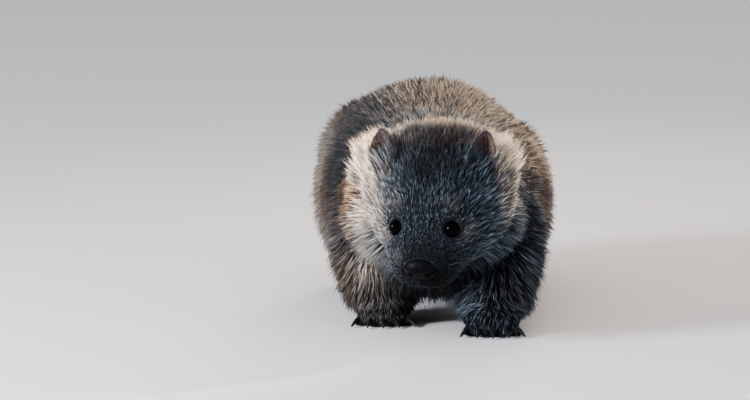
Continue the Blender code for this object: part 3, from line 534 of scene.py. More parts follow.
def coat_depth(place):
    """How far the skin lies under the solids: half the coat on the body, little on face and feet."""
    at = coordinates(place)
    body = TRUNK_DEPTH - LOW_DEPTH_LESS * patch(at, "low skin")
    face = SNOUT_DEPTH + HEAD_DEPTH_MORE * (patch(at, "cheek skin") + patch(at, "nape skin"))
    depth = blend(body, face, patch(at, "head skin"))
    for side in SIDES:
        depth = blend(depth, EYE_DEPTH, round_eye(place, side, 0.012, 0.026))
    return blend(depth, FOOT_DEPTH, patch(at, "foot skin"))


def cream_marks(at, place, head):
    """The pale hair: ruff, cheeks, foreleg and small spots on the face, with painted backlight on the
    ruff and painted rim light on nape, flanks and rump.
    """
    right = patch(at, "right face")
    ruff = patch(at, "ruff") * (0.80 + 0.35 * ripple(place, 0.018, 13))
    # Painted shade: the ruff is dimmer on the animal's left, the side away from the light.
    ruff = ruff * (1 - (1 - right) * (0.05 + patch(at, "shaded left ruff")))
    # Painted backlight: the spots by the ears brighten the ruff.
    ruff = np.maximum.reduce([ruff, spots(place, LEFT_RUFF_BACKLIT_SPOTS), spots(head, RIGHT_RUFF_BACKLIT_SPOTS)])
    # Partly painted light: the cheek is much paler on the animal's right, the lit side.
    cheek = patch(at, "cheek") * (1 - patch(at, "cheek edge")) * (0.28 + 0.70 * right)
    others = ("nape", "temple", "brow", "foreleg", "flank rim light", "rump rim light")
    cream = np.maximum.reduce([ruff, cheek, *(patch(at, name) for name in others)])
    # The band taken off the right cheek's cream here is painted shade.
    cream = cream * (1 - patch(at, "brown jowl")) * (1 - patch(at, "shaded cheek band") * right)
    return np.maximum(cream, spots(head, GREY_SPOTS)), ruff


def brown_marks(at, place):
    """The warm hair: flanks, rump, shanks, the right shoulder, and the band on the nape, which is
    painted rim light.
    """
    flank = 0.10 + 0.90 * np.maximum(patch(at, "side"), patch(at, "rear"))
    brown = np.maximum.reduce([patch(at, "forequarter"), patch(at, "shoulder") * flank,
                               # Painted rim light: the nape band is warm as well as pale.
                               patch(at, "hindquarter") * flank, 1.4 * patch(at, "nape")])
    shank = patch(at, "shank")
    brown = np.maximum(brown * (1 - shank), shank * (0.25 + patch(at, "right shank")))
    warm = (0.30 + 0.45 * ripple(place, 0.045, 12)) * patch(at, "off middle")
    warm = warm * (0.4 + patch(at, "warm neck"))
    return np.maximum.reduce([brown, warm, patch(at, "right shoulder")])


def dark_marks(at, head, ruff):
    """The dark hair: muzzle, crown, throat, chin, the hollow behind the cheek, feet and back; throat,
    chin, hollow and inner legs are partly painted shade.
    """
    # Partly painted light: the dark muzzle stops sooner on the lit right side.
    snout = np.linalg.norm(head - MUZZLE_AT, axis=1) * (1 + patch(at, "right snout"))
    muzzle = np.maximum(0.96 * step(snout, 0.056, 0.030), 0.50 * step(snout, 0.088, 0.036))
    crown = np.maximum(*(np.exp(-(((at["side"] - side) / across) ** 2)
                                - ((at["along"] - along) / reach) ** 2)
                         for side, across, along, reach in ((0.012, 0.066, 0.050, 0.054),
                                                            (-0.006, 0.030, 0.010, 0.030))))
    crown = crown * patch(at, "crown") * (1 - ruff)
    # Partly painted shade under the head and body and between the legs.
    throat = patch(at, "throat") * (1 - patch(at, "left throat"))
    inner = patch(at, "inner leg") * (1 - patch(at, "left inner leg"))
    others = ("chin", "hollow", "left shin", "feet")
    dark = np.maximum.reduce([muzzle, crown, throat, inner, *(patch(at, name) for name in others)])
    dark = dark * (1 - patch(at, "left foreleg"))
    saddle = patch(at, "saddle") * (0.88 - patch(at, "saddle edge"))
    return np.maximum.reduce([dark, saddle, patch(at, "outer right")])


def markings(place):
    """Shares of cream, warm brown and dark at each point, for skin and coat alike, with painted light
    and shade among them.
    """
    at, head = coordinates(place), in_head(place)
    blotch, mottle = ripple(place, 0.07, 1), ripple(place, 0.030, 2)
    cream, ruff = cream_marks(at, place, head)
    cream = cream * (1 + 0.22 * mottle + 0.12 * blotch)
    brown = brown_marks(at, place) * (0.80 + 0.35 * blotch + 0.25 * ripple(place, 0.011, 3))
    dark = dark_marks(at, head, ruff) * (1 + 0.16 * mottle + 0.16 * blotch)
    for side in SIDES:
        dark = np.maximum(dark, round_eye(place, side, 0.0135, 0.0170))
    return np.clip(np.stack([cream, brown, dark], -1), 0, 1)


def hold_marks(obj, place, times):
    """Stores the markings at these places, each for that many points of the mesh in turn."""
    marks = np.hstack([markings(place), np.ones((len(place), 1))])
    hold(obj, "marks", "FLOAT_COLOR", np.repeat(marks, times, axis=0))


def hanging(at, way):
    """Where hair hangs straight down: under the chest and belly, between the legs."""
    return step(-way[:, 2], 0.10, 0.60) * patch(at, "under")


def combed(place, way):
    """The lie of the coat: back along the body, down the legs, and away from the nose on the head."""
    at = coordinates(place)
    one, head = np.ones(len(place)), in_head(place)
    lie = np.stack([0.35 * way[:, 0], one, -0.30 - 0.5 * step(at["z"], 0.24, 0.12)], -1)
    leg = np.stack([0.25 * way[:, 0], 0.30 + 0.25 * way[:, 1], -one], -1)
    for onward, share in (((0, 0.25, -1), patch(at, "rump lie")), (leg, patch(at, "leg lie")),
                          ((0, 0.15, -1), hanging(at, way)), ((0, -0.8, -0.6), patch(at, "toe lie"))):
        lie = blend(lie, np.asarray(onward), share[:, None])
    away = unit(head - NOSE_AT + (0, 0, 0.030))
    aside = 0.25 * np.sign(at["side"]) * step(at["wide"], 0.02, 0.08)
    fan = (away + np.stack([aside, 0.25 * one, -0.1 * one], -1)) @ HEAD_WAYS.T
    fan[:, 2] -= 0.9 * step(at["rise"], -0.020, -0.060)
    on_head = patch(at, "head lie")[:, None]
    flow = unit(fan) * on_head + unit(lie) * (1 - on_head)
    for side in SIDES:
        gap = place - eye_ways(side)[0]
        near = round_eye(place, side, 0.014, 0.030)[:, None]
        out = unit(gap - way * dot(gap, way))
        flow = flow - out * np.minimum(dot(flow, out), 0) * near * 1.3 + out * near * 0.35
    return unit(flow - way * dot(flow, way))


# Materials.


def node(tree, kind, inputs=None, out=0, **settings):
    """Adds one node, sets its properties, sets or links its inputs, and gives an output of it."""
    made = tree.nodes.new("ShaderNode" + kind)
    for name, value in settings.items():
        setattr(made, name, value)
    for name, value in (inputs or {}).items():
        if isinstance(value, bpy.types.NodeSocket):
            tree.links.new(value, made.inputs[name])
        else:
            made.inputs[name].default_value = value
    return made.outputs[out]


def finish(name, **sockets):
    """A new material with its values set on the shader's own sockets."""
    material = bpy.data.materials.new(name)
    material.use_nodes = True
    shader = material.node_tree.nodes["Principled BSDF"]
    for socket, value in sockets.items():
        shader.inputs[socket.replace("_", " ")].default_value = value
    return material, material.node_tree, shader


def feed(tree, shader, colour, height=None, distance=0.0, strength=1.0):
    """Gives the shader its colour, and its normal from a height pattern where there is one."""
    tree.links.new(colour, shader.inputs["Base Color"])
    if height:
        bump = node(tree, "Bump", {"Height": height, "Distance": distance, "Strength": strength})
        tree.links.new(bump, shader.inputs["Normal"])


def pelt_colour(tree, coat, tip):
    """Banded hair colour by the animal's markings: dark at the root, partly painted shade deep in the
    coat, paler to the tip.
    """
    marks = node(tree, "Attribute", attribute_name="marks")
    cream, brown, dark = node(tree, "SeparateColor", {0: marks}, slice(0, 3))
    colour = node(tree, "Mix", {0: tip, 6: coat.slate_root, 7: coat.slate_tip}, 2, data_type="RGBA")
    for mark, root_colour, tip_colour in ((brown, coat.brown_root, coat.brown_tip),
                                          (cream, coat.cream_root, coat.cream_tip),
                                          (dark, coat.dark_root, coat.dark_tip)):
        banded = node(tree, "Mix", {0: tip, 6: root_colour, 7: tip_colour}, 2, data_type="RGBA")
        colour = node(tree, "Mix", {0: mark, 6: colour, 7: banded}, 2, data_type="RGBA")
    return colour


def hair_finish(coat):
    """Guard hair, keratin: a soft sheen along each hair, dark roots that are partly painted shade, and
    grizzled pale tips.
    """
    material, tree, shader = finish("guard hair", Roughness=0.55, Specular_IOR_Level=0.35)
    along, shade = (node(tree, "Attribute", None, "Fac", attribute_name=name)
                    for name in ("along", "shade"))
    # Painted shade: the lower share of each tuft keeps the root colour, partly as the hair's own
    # banding and partly as shade deep in the coat.
    rise = node(tree, "MapRange", {0: along, 1: 0.22, 2: 1.0}, interpolation_type="SMOOTHSTEP")
    tip = node(tree, "Math", {0: rise, 1: shade}, operation="MULTIPLY", use_clamp=True)
    feed(tree, shader, pelt_colour(tree, coat, tip))
    return material


def skin_finish(coat):
    """Skin under dense short underfur: dull and dark, with a felted bump about 1.5 mm across."""
    material, tree, shader = finish("underfur skin", Roughness=0.85, Specular_IOR_Level=0.2)
    spot = node(tree, "TexCoord", out="Object")
    felt = node(tree, "TexNoise", {"Vector": spot, "Scale": 650.0, "Detail": 3.0}, "Fac")
    tip = node(tree, "Math", {0: felt, 1: 0.35}, operation="MULTIPLY")
    feed(tree, shader, pelt_colour(tree, coat, tip), felt, 0.0012, 0.8)
    return material


def leather_finish(name, colour, crease_shade, roughness, cobble, moist=0.0):
    """Bare skin: fine cobbles of a stated size, with a slight moist sheen.

    Painted shade darkens the creases between the cobbles, unevenly in soft patches about 11 mm wide."""
    material, tree, shader = finish(name, Roughness=roughness, Specular_IOR_Level=0.09,
                                    Coat_Weight=moist, Coat_Roughness=0.35)
    spot = node(tree, "TexCoord", out="Object")
    cells = node(tree, "TexVoronoi", {"Vector": spot, "Scale": 1 / cobble}, "Distance")
    worn = node(tree, "TexNoise", {"Vector": spot, "Scale": 90.0, "Detail": 4.0}, "Fac")
    # Painted shade: the crease colour fills the cells' edges, where the bump sinks.
    share = node(tree, "Math", {0: cells, 1: worn}, operation="MULTIPLY", use_clamp=True)
    height = node(tree, "Math", {0: worn, 1: cells}, operation="SUBTRACT")
    feed(tree, shader, node(tree, "Mix", {0: share, 6: colour, 7: crease_shade}, 2, data_type="RGBA"),
         height, cobble * 0.35, 0.6)
    return material


def eye_finish(colours):
    """A wet cornea over a dark brown iris: near black, with a clear glossy coat.

    The iris has fibres about 1 mm apart, the finest that the render can show."""
    material, tree, shader = finish("wet eye", Roughness=0.08, Specular_IOR_Level=0.03, IOR=1.38,
                                    Coat_Weight=0.08, Coat_Roughness=0.02)
    ring = node(tree, "Attribute", None, "Fac", attribute_name="ring")
    spot = node(tree, "TexCoord", out="Object")
    fibre = node(tree, "TexNoise", {"Vector": spot, "Scale": 900.0, "Detail": 3.0}, "Fac")
    pupil, white = (node(tree, "MapRange", {0: ring, 1: low, 2: high},
                         interpolation_type="SMOOTHSTEP") for low, high in ((0.42, 0.50), (0.95, 1.15)))
    iris = node(tree, "Mix", {0: fibre, 6: colours.pupil, 7: colours.iris}, 2, data_type="RGBA")
    colour = node(tree, "Mix", {0: pupil, 6: colours.pupil, 7: iris}, 2, data_type="RGBA")
    feed(tree, shader, node(tree, "Mix", {0: white, 6: colour, 7: colours.rim}, 2, data_type="RGBA"))
    return material


def horn_finish(colours):
    """Claw horn: dark keratin in long growth lines about 0.6 mm apart, paler and worn at the tip."""
    material, tree, shader = finish("claw horn", Roughness=0.42, Specular_IOR_Level=0.5)
    along = node(tree, "Attribute", None, "Fac", attribute_name="along")
    spot = node(tree, "TexCoord", out="Object")
    lines = node(tree, "TexNoise", {"Vector": spot, "Scale": 1600.0, "Detail": 2.0}, "Fac")
    worn = node(tree, "Math", {0: along, 1: lines}, operation="MULTIPLY", use_clamp=True)
    colour = node(tree, "Mix", {0: worn, 6: colours.claw, 7: colours.claw_tip}, 2, data_type="RGBA")
    feed(tree, shader, colour, lines, 0.0004, 0.5)
    return material


def whisker_finish(coat):
    """Stiff whisker hair: a harder sheen than the coat's, dark and pale by turns of about 14 mm."""
    material, tree, shader = finish("whisker", Roughness=0.4, Specular_IOR_Level=0.5)
    spot = node(tree, "TexCoord", out="Object")
    tone = node(tree, "TexNoise", {"Vector": spot, "Scale": 70.0}, "Fac")
    feed(tree, shader, node(tree, "Mix", {0: tone, 6: coat.slate_root, 7: coat.slate_tip}, 2,
                            data_type="RGBA"))
    return material


# Settings.


def colour_property(name, text, about):
    """A colour given as hex sRGB."""
    return FloatVectorProperty(name=name, description=about, default=linear(text), size=4,
                               min=0, max=1, subtype="COLOR")


def length_property(name, about, default, low, high):
    """A length in metres between two limits."""
    return FloatProperty(name=name, description=about, default=default, min=low, max=high,
                         unit="LENGTH")


def power_property(name, about, default):
    """A light's power in watts."""
    return FloatProperty(name=name, description=about, default=default, min=0, unit="POWER")


class WombatCoat(bpy.types.PropertyGroup):
    """Lengths and colours of the coat."""

    body_hair: length_property("Body hair", "Length of hair on back and flanks", 0.038, 0.005, 0.08)
    ruff_hair: length_property("Ruff hair", "Length of the pale hair behind the cheeks",
                               0.032, 0.005, 0.06)
    face_hair: length_property("Face hair", "Length of hair on cheeks and forehead",
                               0.0150, 0.003, 0.04)
    tuft_width: length_property("Tuft width", "Width of a tuft on the back", 0.0014, 0.0005, 0.005)
    crowding: FloatProperty(name="Crowding", description="How many tufts grow for each planned one",
                            default=1.0, min=0.05, max=1.3, subtype="FACTOR")
    slate_root: colour_property("Slate root", "#0b0e11", "Root of the blue-grey hair")
    slate_tip: colour_property("Slate tip", "#8fa1b0", "Tip of the blue-grey hair")
    brown_root: colour_property("Brown root", "#0f0c0b", "Root of the warm hair on the flanks")
    brown_tip: colour_property("Brown tip", "#a98264", "Tip of the warm hair on the flanks")
    cream_root: colour_property("Cream root", "#8c8073", "Root of the pale ruff hair")
    cream_tip: colour_property("Cream tip", "#f7efe4", "Tip of the pale ruff hair")
    dark_root: colour_property("Dark root", "#08090b", "Root of the dark throat hair")
    dark_tip: colour_property("Dark tip", "#2b3238", "Tip of the dark throat hair")


class WombatBare(bpy.types.PropertyGroup):
    """Sizes and colours of the bare parts."""

    lid_opening: length_property("Lid opening", "Half width of the opening of the lids",
                                 0.0108, 0.004, 0.011)
    whisker: length_property("Whisker", "Length of the longest whiskers", 0.046, 0.01, 0.08)
    pupil: colour_property("Pupil", "#020202", "Pupil of the eye")
    iris: colour_property("Iris", "#050303", "Iris of the eye")
    rim: colour_property("Eye rim", "#020202", "Dark rim of the eyeball")
    nose: colour_property("Nose", "#060608", "Bare skin of nose, lips and lids")
    # This and the other crease colours are painted shade in the creases of the bare skin.
    nose_crease_shade: colour_property("Nose crease", "#020203", "Creases of the bare skin")
    ear: colour_property("Ear", "#6a554f", "Bare inside of the ear")
    ear_crease_shade: colour_property("Ear crease", "#1b1514", "Creases and edge of the ear")
    lid: colour_property("Lid", "#040304", "Bare dark edge of the lids")
    lid_crease_shade: colour_property("Lid crease", "#010101", "Creases of the lids")
    claw: colour_property("Claw", "#0e0c0b", "Claw horn")
    claw_tip: colour_property("Claw tip", "#2c2722", "Worn tip of the claws")


class WombatStage(bpy.types.PropertyGroup):
    """Floor, lights and camera."""

    floor: colour_property("Floor", "#dcdad6", "Plain floor")
    key: power_property("Key light", "Power of the large soft light, in watts", 300.0)
    panel: power_property("Overhead panel", "Power of the wide panel above, in watts", 960.0)
    rim: power_property("Rim light", "Power of the light behind the animal, in watts", 9.0)
    accent: power_property("Accent light",
                           "Power of which each small light on the ruff has its share, in watts", 0.8)
    sky: FloatProperty(name="Sky", description="Strength of the even light all round",
                       default=0.48, min=0)
    lens: FloatProperty(name="Lens", description="Focal length of the camera in millimetres",
                        default=201.0, min=20, max=400, unit="CAMERA")
    height: FloatProperty(name="Camera angle", description="Angle of the camera above the horizon",
                          default=math.radians(7.5), unit="ROTATION")
    distance: FloatProperty(name="Distance", description="Distance of the camera from its aim",
                            default=6.5, min=1, unit="LENGTH")


# Skin.


def flesh_forms():
    """Every form of the body as a closed grid, in the frame in which the stations are written."""
    forms = [body_rings(TRUNK, *TRUNK_POWERS), neck_rings(),
             from_head(body_rings(HEAD, *HEAD_POWERS)) - SHIFT, tube_rings(TAIL, upward=(1, 0, 0))]
    for kind in LEG:
        for side in SIDES:
            path = leg_path(kind, side)
            forms += [tube_rings(path), ball_rings(path[0, :3], (path[0, 3] * 0.95,) * 3),
                      ball_rings(foot_centre(kind, side), FOOT[kind]["half"])]
            for root, way in zip(*toes(kind, side)):
                ways = np.stack([np.cross(-way, (0, 0, 1)), -way, (0, 0, 1)], -1)
                forms.append(ball_rings(root, TOE_HALF, ways))
    return [closed(rings) for rings in forms]


def melted(obj, voxel, passes):
    """The object's mesh remeshed by voxels and smoothed, with the modifiers applied."""
    melt = obj.modifiers.new("melt", "REMESH")
    melt.mode, melt.voxel_size = "VOXEL", voxel
    ease = obj.modifiers.new("ease", "SMOOTH")
    ease.factor, ease.iterations = 0.5, passes
    graph = bpy.context.evaluated_depsgraph_get()
    mesh = bpy.data.meshes.new_from_object(obj.evaluated_get(graph))
    obj.modifiers.clear()
    obj.data = mesh
    return obj


class WOMBAT_OT_skin(bpy.types.Operator):
    """Melt every form of the body into one skin that lies under the coat"""

    bl_idname = "wombat.skin"
    bl_label = "Skin"

    def execute(self, context):
        skin = solid("skin", *joined(flesh_forms()))
        melted(skin, MELT_VOXEL, MELT_PASSES)
        place, way, _ = surface(skin)
        place = place + SHIFT
        place = place - way * coat_depth(place)[:, None]
        place[:, 2] = np.maximum(place[:, 2], SKIN_CLEARANCE)
        skin.data.vertices.foreach_set("co", place.astype(np.float32).ravel())
        skin.data.update()
        skin.data.shade_smooth()
        skin.data.materials.clear()
        skin.data.materials.append(skin_finish(context.scene.wombat_coat))
        hold_marks(skin, place, 1)
        place_piece(skin, "coat", *FLESH)
        return {"FINISHED"}


# Eyes, ears, nose and claws.


class WOMBAT_OT_eyes(bpy.types.Operator):
    """Make the glossy eyeballs and the lids round them"""

    bl_idname = "wombat.eyes"
    bl_label = "Eyes and lids"

    def execute(self, context):
        bare = context.scene.wombat_bare
        glass = eye_finish(bare)
        lid_skin = leather_finish("eyelid skin", bare.lid, bare.lid_crease_shade, 0.75, 0.0009)
        for side in SIDES:
            centre, ways = eye_ways(side)
            rings = ball_rings((0, 0, 0), (1, 1, 1), turned("X", 90), 64, 40)
            angle = np.arccos(np.clip(-rings[..., 1], -1, 1))
            bulge = 1 + 0.06 * np.exp(-((angle / 0.5) ** 2))
            place, corner = closed(rings * bulge[..., None] * EYE_RADIUS)
            turn = np.arccos(np.clip(-unit(place)[:, 1], -1, 1))
            eye = solid(f"eyeball_{side}", place @ ways.T + centre, corner, glass)
            hold(eye, "ring", "FLOAT", turn / 0.85)
            place_piece(eye, "eye", f"eye_{side}")
            self.lids(side, centre, ways, bare.lid_opening, lid_skin)
        return {"FINISHED"}

    def lids(self, side, centre, ways, opening, material):
        """A closed ring: an almond opening on the eyeball whose edge rolls out, folds and sinks."""
        turn = np.linspace(0, 2 * np.pi, LID_AROUND, endpoint=False)[None]
        lap = np.linspace(0, 2 * np.pi, LID_STEPS, endpoint=False)[:, None]
        corner_pull = 1 + 0.05 * np.cos(2 * turn)
        brow = np.where(np.sin(turn) > 0, 0.97, 0.95)
        inner = np.hypot(opening * corner_pull * np.cos(turn), opening * brow * np.sin(turn))
        spread = 0.30 + 0.05 * np.sin(turn)
        polar = np.arcsin(np.clip(inner / EYE_RADIUS, 0, 0.95)) + spread * (1 - np.cos(lap)) / 2
        thick = 0.0011 + 0.0007 * np.maximum(np.sin(turn), 0)
        fold = 0.0005 * np.sin(3 * lap) * step(np.sin(turn), -0.2, 0.5)
        lifted = (thick * np.sin(lap) + fold) * step(np.sin(lap), -0.3, 0.2)
        away = EYE_RADIUS + LID_GAP + lifted
        angle = np.arctan2(np.sin(turn) * brow, np.cos(turn) * corner_pull)
        round_out = away * np.sin(polar)
        place = np.stack(np.broadcast_arrays(round_out * np.cos(angle), -away * np.cos(polar),
                                             round_out * np.sin(angle)), -1)
        place = (place @ ways.T + centre).reshape(-1, 3)
        i, j = np.meshgrid(np.arange(LID_STEPS), np.arange(LID_AROUND), indexing="ij")
        row, next_row = i * LID_AROUND, (i + 1) % LID_STEPS * LID_AROUND
        a, b, c, d = row + j, row + (j + 1) % LID_AROUND, next_row + (j + 1) % LID_AROUND, next_row + j
        corner = np.stack([a, b, c, a, c, d], -1).reshape(-1, 3)
        p, q, r = place[corner].transpose(1, 0, 2)
        facing = np.cross(q - p, r - p)
        outer = np.abs(p - centre).sum(1) > np.percentile(np.abs(p - centre).sum(1), 80)
        if np.sum(facing[outer] * (p - centre)[outer]) < 0:
            corner = corner[:, ::-1]
        place_piece(solid(f"eyelids_{side}", place, corner, material), "coat")


def ear_ways(side):
    """The ear's middle, and its axes as columns: across, back and up to the tip."""
    sign = SIDES[side]
    ways = turned("Z", HEAD_TURN + sign * EAR_FACES_OUT) @ turned("Y", sign * EAR_SPLAY)
    return np.array(EAR_ROOT[side]) + ways @ EAR_SEAT, ways


def ear_shell(side):
    """An ear cup: outer and dished inner superellipse meet at a rolled rim, its foot shifted aside."""
    centre, ways = ear_ways(side)
    turn = np.linspace(0, 2 * np.pi, 72, endpoint=False)[None]
    lap = np.linspace(0.0, 1.0, 33)[:, None]
    front = lap < 0.5
    out = np.where(front, lap * 2, 2 - lap * 2)
    out = np.sin(np.clip(out, 0, 1) * np.pi / 2) ** 0.8
    dish = EAR_DISH * (1 - out**2.2)
    back = EAR_HALF[1] * 0.95 * np.sqrt(np.clip(1 - out**2, 0, 1)) + 0.0022
    y = np.where(front, dish - 0.0020, back)
    roll = EAR_ROLL * np.exp(-(((lap - 0.5) / 0.05) ** 2))
    x = EAR_HALF[0] * (out + roll / EAR_HALF[0]) * np.cos(turn)
    z = EAR_HALF[2] * (out + roll / EAR_HALF[2]) * np.sin(turn)
    x = x * (1 - EAR_TIP_TAPER * z / EAR_HALF[2]) + 0.30 * SIDES[side] * np.minimum(z, 0)
    lean = 0.0035 * (z / EAR_HALF[2]) ** 2 - 0.010 * (np.abs(x) / EAR_HALF[0]) ** 2 * front
    fold = 0.0012 * np.sin(x * 900 + z * 200) * front * (1 - out) * out * 3
    y = np.broadcast_to(y, x.shape) + lean + fold - 0.0045
    shape = np.stack([x, y, z], -1) * EAR_SHRINK - (0, 0, 0.004)
    return closed(shape @ ways.T + centre)


class WOMBAT_OT_ears(bpy.types.Operator):
    """Make the two rounded ear cups"""

    bl_idname = "wombat.ears"
    bl_label = "Ears"

    def execute(self, context):
        bare = context.scene.wombat_bare
        hide = leather_finish("ear skin", bare.ear, bare.ear_crease_shade, 0.6, 0.0012)
        for side in SIDES:
            place_piece(solid(f"ear_cup_{side}", *ear_shell(side), hide), "ear skin", f"ear_{side}")
        return {"FINISHED"}


class WOMBAT_OT_nose(bpy.types.Operator):
    """Make the bare nose pad with its nostrils, and the dark lips"""

    bl_idname = "wombat.nose"
    bl_label = "Nose and lips"

    def execute(self, context):
        bare = context.scene.wombat_bare
        hide = leather_finish("nose leather", bare.nose, bare.nose_crease_shade, 0.55, 0.0011, 0.05)
        rings = ball_rings((0, 0, 0), (1, 1, 1), turned("X", 90), 128, 80)
        shape = np.sign(rings) * np.abs(rings) ** 0.88
        x, y, z = shape[..., 0], shape[..., 1], shape[..., 2]
        x = x * (1 - 0.16 * z)
        wide = np.abs(x)
        front = step(-y, 0.1, 0.6)
        bow = 0.46 + 0.20 * (z + 0.1) ** 2
        curl = np.exp(-((wide - bow) / 0.15) ** 2 - ((z + 0.12) / 0.24) ** 2)
        slit = np.exp(-((z - 0.02 - 0.25 * (wide - 0.5)) / 0.10) ** 2) * step(wide, 0.5, 0.62)
        cleft = np.exp(-((x / 0.05) ** 2)) * step(-z, -0.25, 0.30)
        pad = np.exp(-(((wide - 0.32) / 0.35) ** 2)) * 0.06
        y = y + front * (0.52 * np.maximum(curl, 0.8 * slit) + 0.16 * cleft - pad)
        shape = np.stack([x, y, z], -1) * NOSE_HALF * 1.03 + NOSE_AT
        place, corner = closed(shape)
        nose = solid("nose_pad", from_head(place), corner, hide)
        place_piece(nose, "bare nose", "nose")
        self.lips(hide)
        return {"FINISHED"}

    def lips(self, hide):
        """Rolled edges along the closed mouth: a round profile along a path that sags in front."""
        side = np.linspace(-1, 1, 41)
        x = 0.030 * side
        y = MOUTH_CORNER - 0.0480 * np.sqrt(np.clip(1 - side**2, 0, 1)) ** 0.9
        pieces = []
        for drop, radius in ((0.0010, 0.0017), (-0.0016, 0.0018)):
            z = MOUTH_LEVEL + drop + 0.006 * np.abs(side) ** 2 + 0.0015 * (1 - side**2)
            path = np.stack([x, y, z, radius * (1 - 0.6 * np.abs(side) ** 4)], -1)
            place, corner = closed(tube_rings(path, 12, 2, (0, 0, 1)))
            pieces.append((from_head(place), corner))
        place_piece(solid("lips", *joined(pieces), hide), "bare nose")


class WOMBAT_OT_claws(bpy.types.Operator):
    """Make the blunt digging claws of all four feet"""

    bl_idname = "wombat.claws"
    bl_label = "Claws"

    def execute(self, context):
        pieces, shares, nodes = [], [], []
        for kind in LEG:
            for side in SIDES:
                roots, ways = toes(kind, side)
                if kind == "hind":
                    keep = slice(1, None) if side == "left" else slice(0, -1)
                    roots, ways = roots[keep], ways[keep]
                for i, (root, way) in enumerate(zip(roots, ways)):
                    rings = self.claw(root + SHIFT, way, CLAW_LENGTH[kind])
                    pieces.append(closed(rings))
                    share = np.linspace(0, 1, len(rings))[:, None] * np.ones(rings.shape[1])
                    shares.append(np.append(share.ravel(), (0, 1)))
                    nodes.append(f"claw_{kind}_{side}_{i + 1}")
        claws = solid("claws", *joined(pieces), horn_finish(context.scene.wombat_bare))
        hold(claws, "along", "FLOAT", np.concatenate(shares))
        place_piece(claws, "claw", *nodes)
        return {"FINISHED"}

    def claw(self, root, way, length):
        """A profile taller than wide along a path that drops with the square of its share."""
        share = np.array((-0.25, 0.15, 0.6, 1.0))
        start = root + way * (TOE_HALF[1] - 0.004) + (0, 0, 0.0015)
        drop = 0.25 * length * share[:, None] ** 2 * (0, 0, 1)
        path = np.hstack([start + way * length * share[:, None] - drop,
                          CLAW_RADIUS * (1 - 0.62 * np.maximum(share, 0) ** 1.4)[:, None]])
        rings = tube_rings(path, 20, 8, (0, 0, 1))
        middle = rings.mean(1, keepdims=True)
        rings = middle + (rings - middle) * (0.86, 0.86, 1.02)
        rings[..., 2] = np.maximum(rings[..., 2], CLAW_CLEARANCE)
        return rings


# Coat.


def scattered(place, way, corner, crowd, rng):
    """Roots in even steps of area times crowd, each at a random spot of its triangle."""
    a, b, c = place[corner].transpose(1, 0, 2)
    area = np.linalg.norm(np.cross(b - a, c - a), axis=1) / 2
    total = np.cumsum(area * crowd)
    count = int(total[-1])
    face = np.minimum(np.searchsorted(total, np.arange(count) + rng.random(count)), len(corner) - 1)
    u, v = np.sqrt(rng.random((count, 1))), rng.random((count, 1))
    weights = np.stack([1 - u, u * (1 - v), u * v])
    pick = corner[face].T
    return (weights * place[pick]).sum(0), unit((weights * way[pick]).sum(0))


def spindles(root, up, way, long, lift, bend, wide, clump, rng):
    """Tufts of six triangles: a point under the skin, a ring of three at the bend, and the tip.

    The spine rises at the lift angle, bends towards the skin, and both its ring and its tip
    are drawn towards those of its clump."""
    count = len(root)
    low, high, long = np.radians(lift - bend)[:, None], np.radians(lift)[:, None], long[:, None]
    foot = root - up * ROOT_SUNK
    knee = root + (way * np.cos(high) + up * np.sin(high)) * long * KNEE_SHARE
    tip = knee + (way * np.cos(low) + up * np.sin(low)) * long * (1 - KNEE_SHARE)
    cell = long.mean() * CLUMP_CELL
    warped = root + 0.35 * cell * np.stack([ripple(root, cell * 6, s) for s in (4, 5, 6)], -1)
    index = np.floor(warped / cell).astype(np.int64)
    key = (index * np.array((73856093, 19349663, 83492791))).sum(1) & 0xFFFFFFFF
    _, group = np.unique(key, return_inverse=True)
    size = np.bincount(group)[:, None]
    middle = np.stack([np.bincount(group, tip[:, k]) for k in range(3)], -1) / size
    pull = (clump * rng.uniform(0.5, 1.2, count))[:, None]
    shift = (middle[group] - tip) * pull
    tip = tip + shift
    knee = knee + shift * 0.25
    side = unit(np.cross(up, way))
    roll = rng.uniform(-0.9, 0.9, (count, 1))
    face = unit(np.cross(tip - root, side))
    side = side * np.cos(roll) + face * np.sin(roll)
    over = np.cross(side, unit(tip - root))
    half = wide[:, None] / 2
    ring = [knee - side * half, knee + side * half, knee + over * half * 0.8]
    place = np.stack([foot, *ring, tip], 1)
    corner = np.array(((0, 2, 1), (0, 3, 2), (0, 1, 3), (4, 1, 2), (4, 2, 3), (4, 3, 1)))
    return place, corner, group


def unwrapped(root, kind):
    """An unwrap of the skin's own shape: angle round a limb's, head's or trunk's axis, and length."""
    x, y, z = root.T
    if kind == "head":
        side, along, rise = in_head(root).T
        flat = np.stack([np.arctan2(side, rise + 0.02), along], -1)
    elif kind == "legs":
        # The left legs stand beside the right ones on the map, and the hind above the fore.
        turn = np.arctan2(x - np.sign(x) * LEG_AXIS, y - np.where(y > 0, HINDLEG_AXIS, FORELEG_AXIS))
        flat = np.stack([turn + 7 * (x > 0), z + 0.3 * (y > 0)], -1)
    else:
        flat = np.stack([np.arctan2(x, z - TRUNK_AXIS), y], -1)
    low, high = flat.min(0), flat.max(0)
    return 0.01 + 0.97 * (flat - low) / np.maximum(high - low, 1e-9)


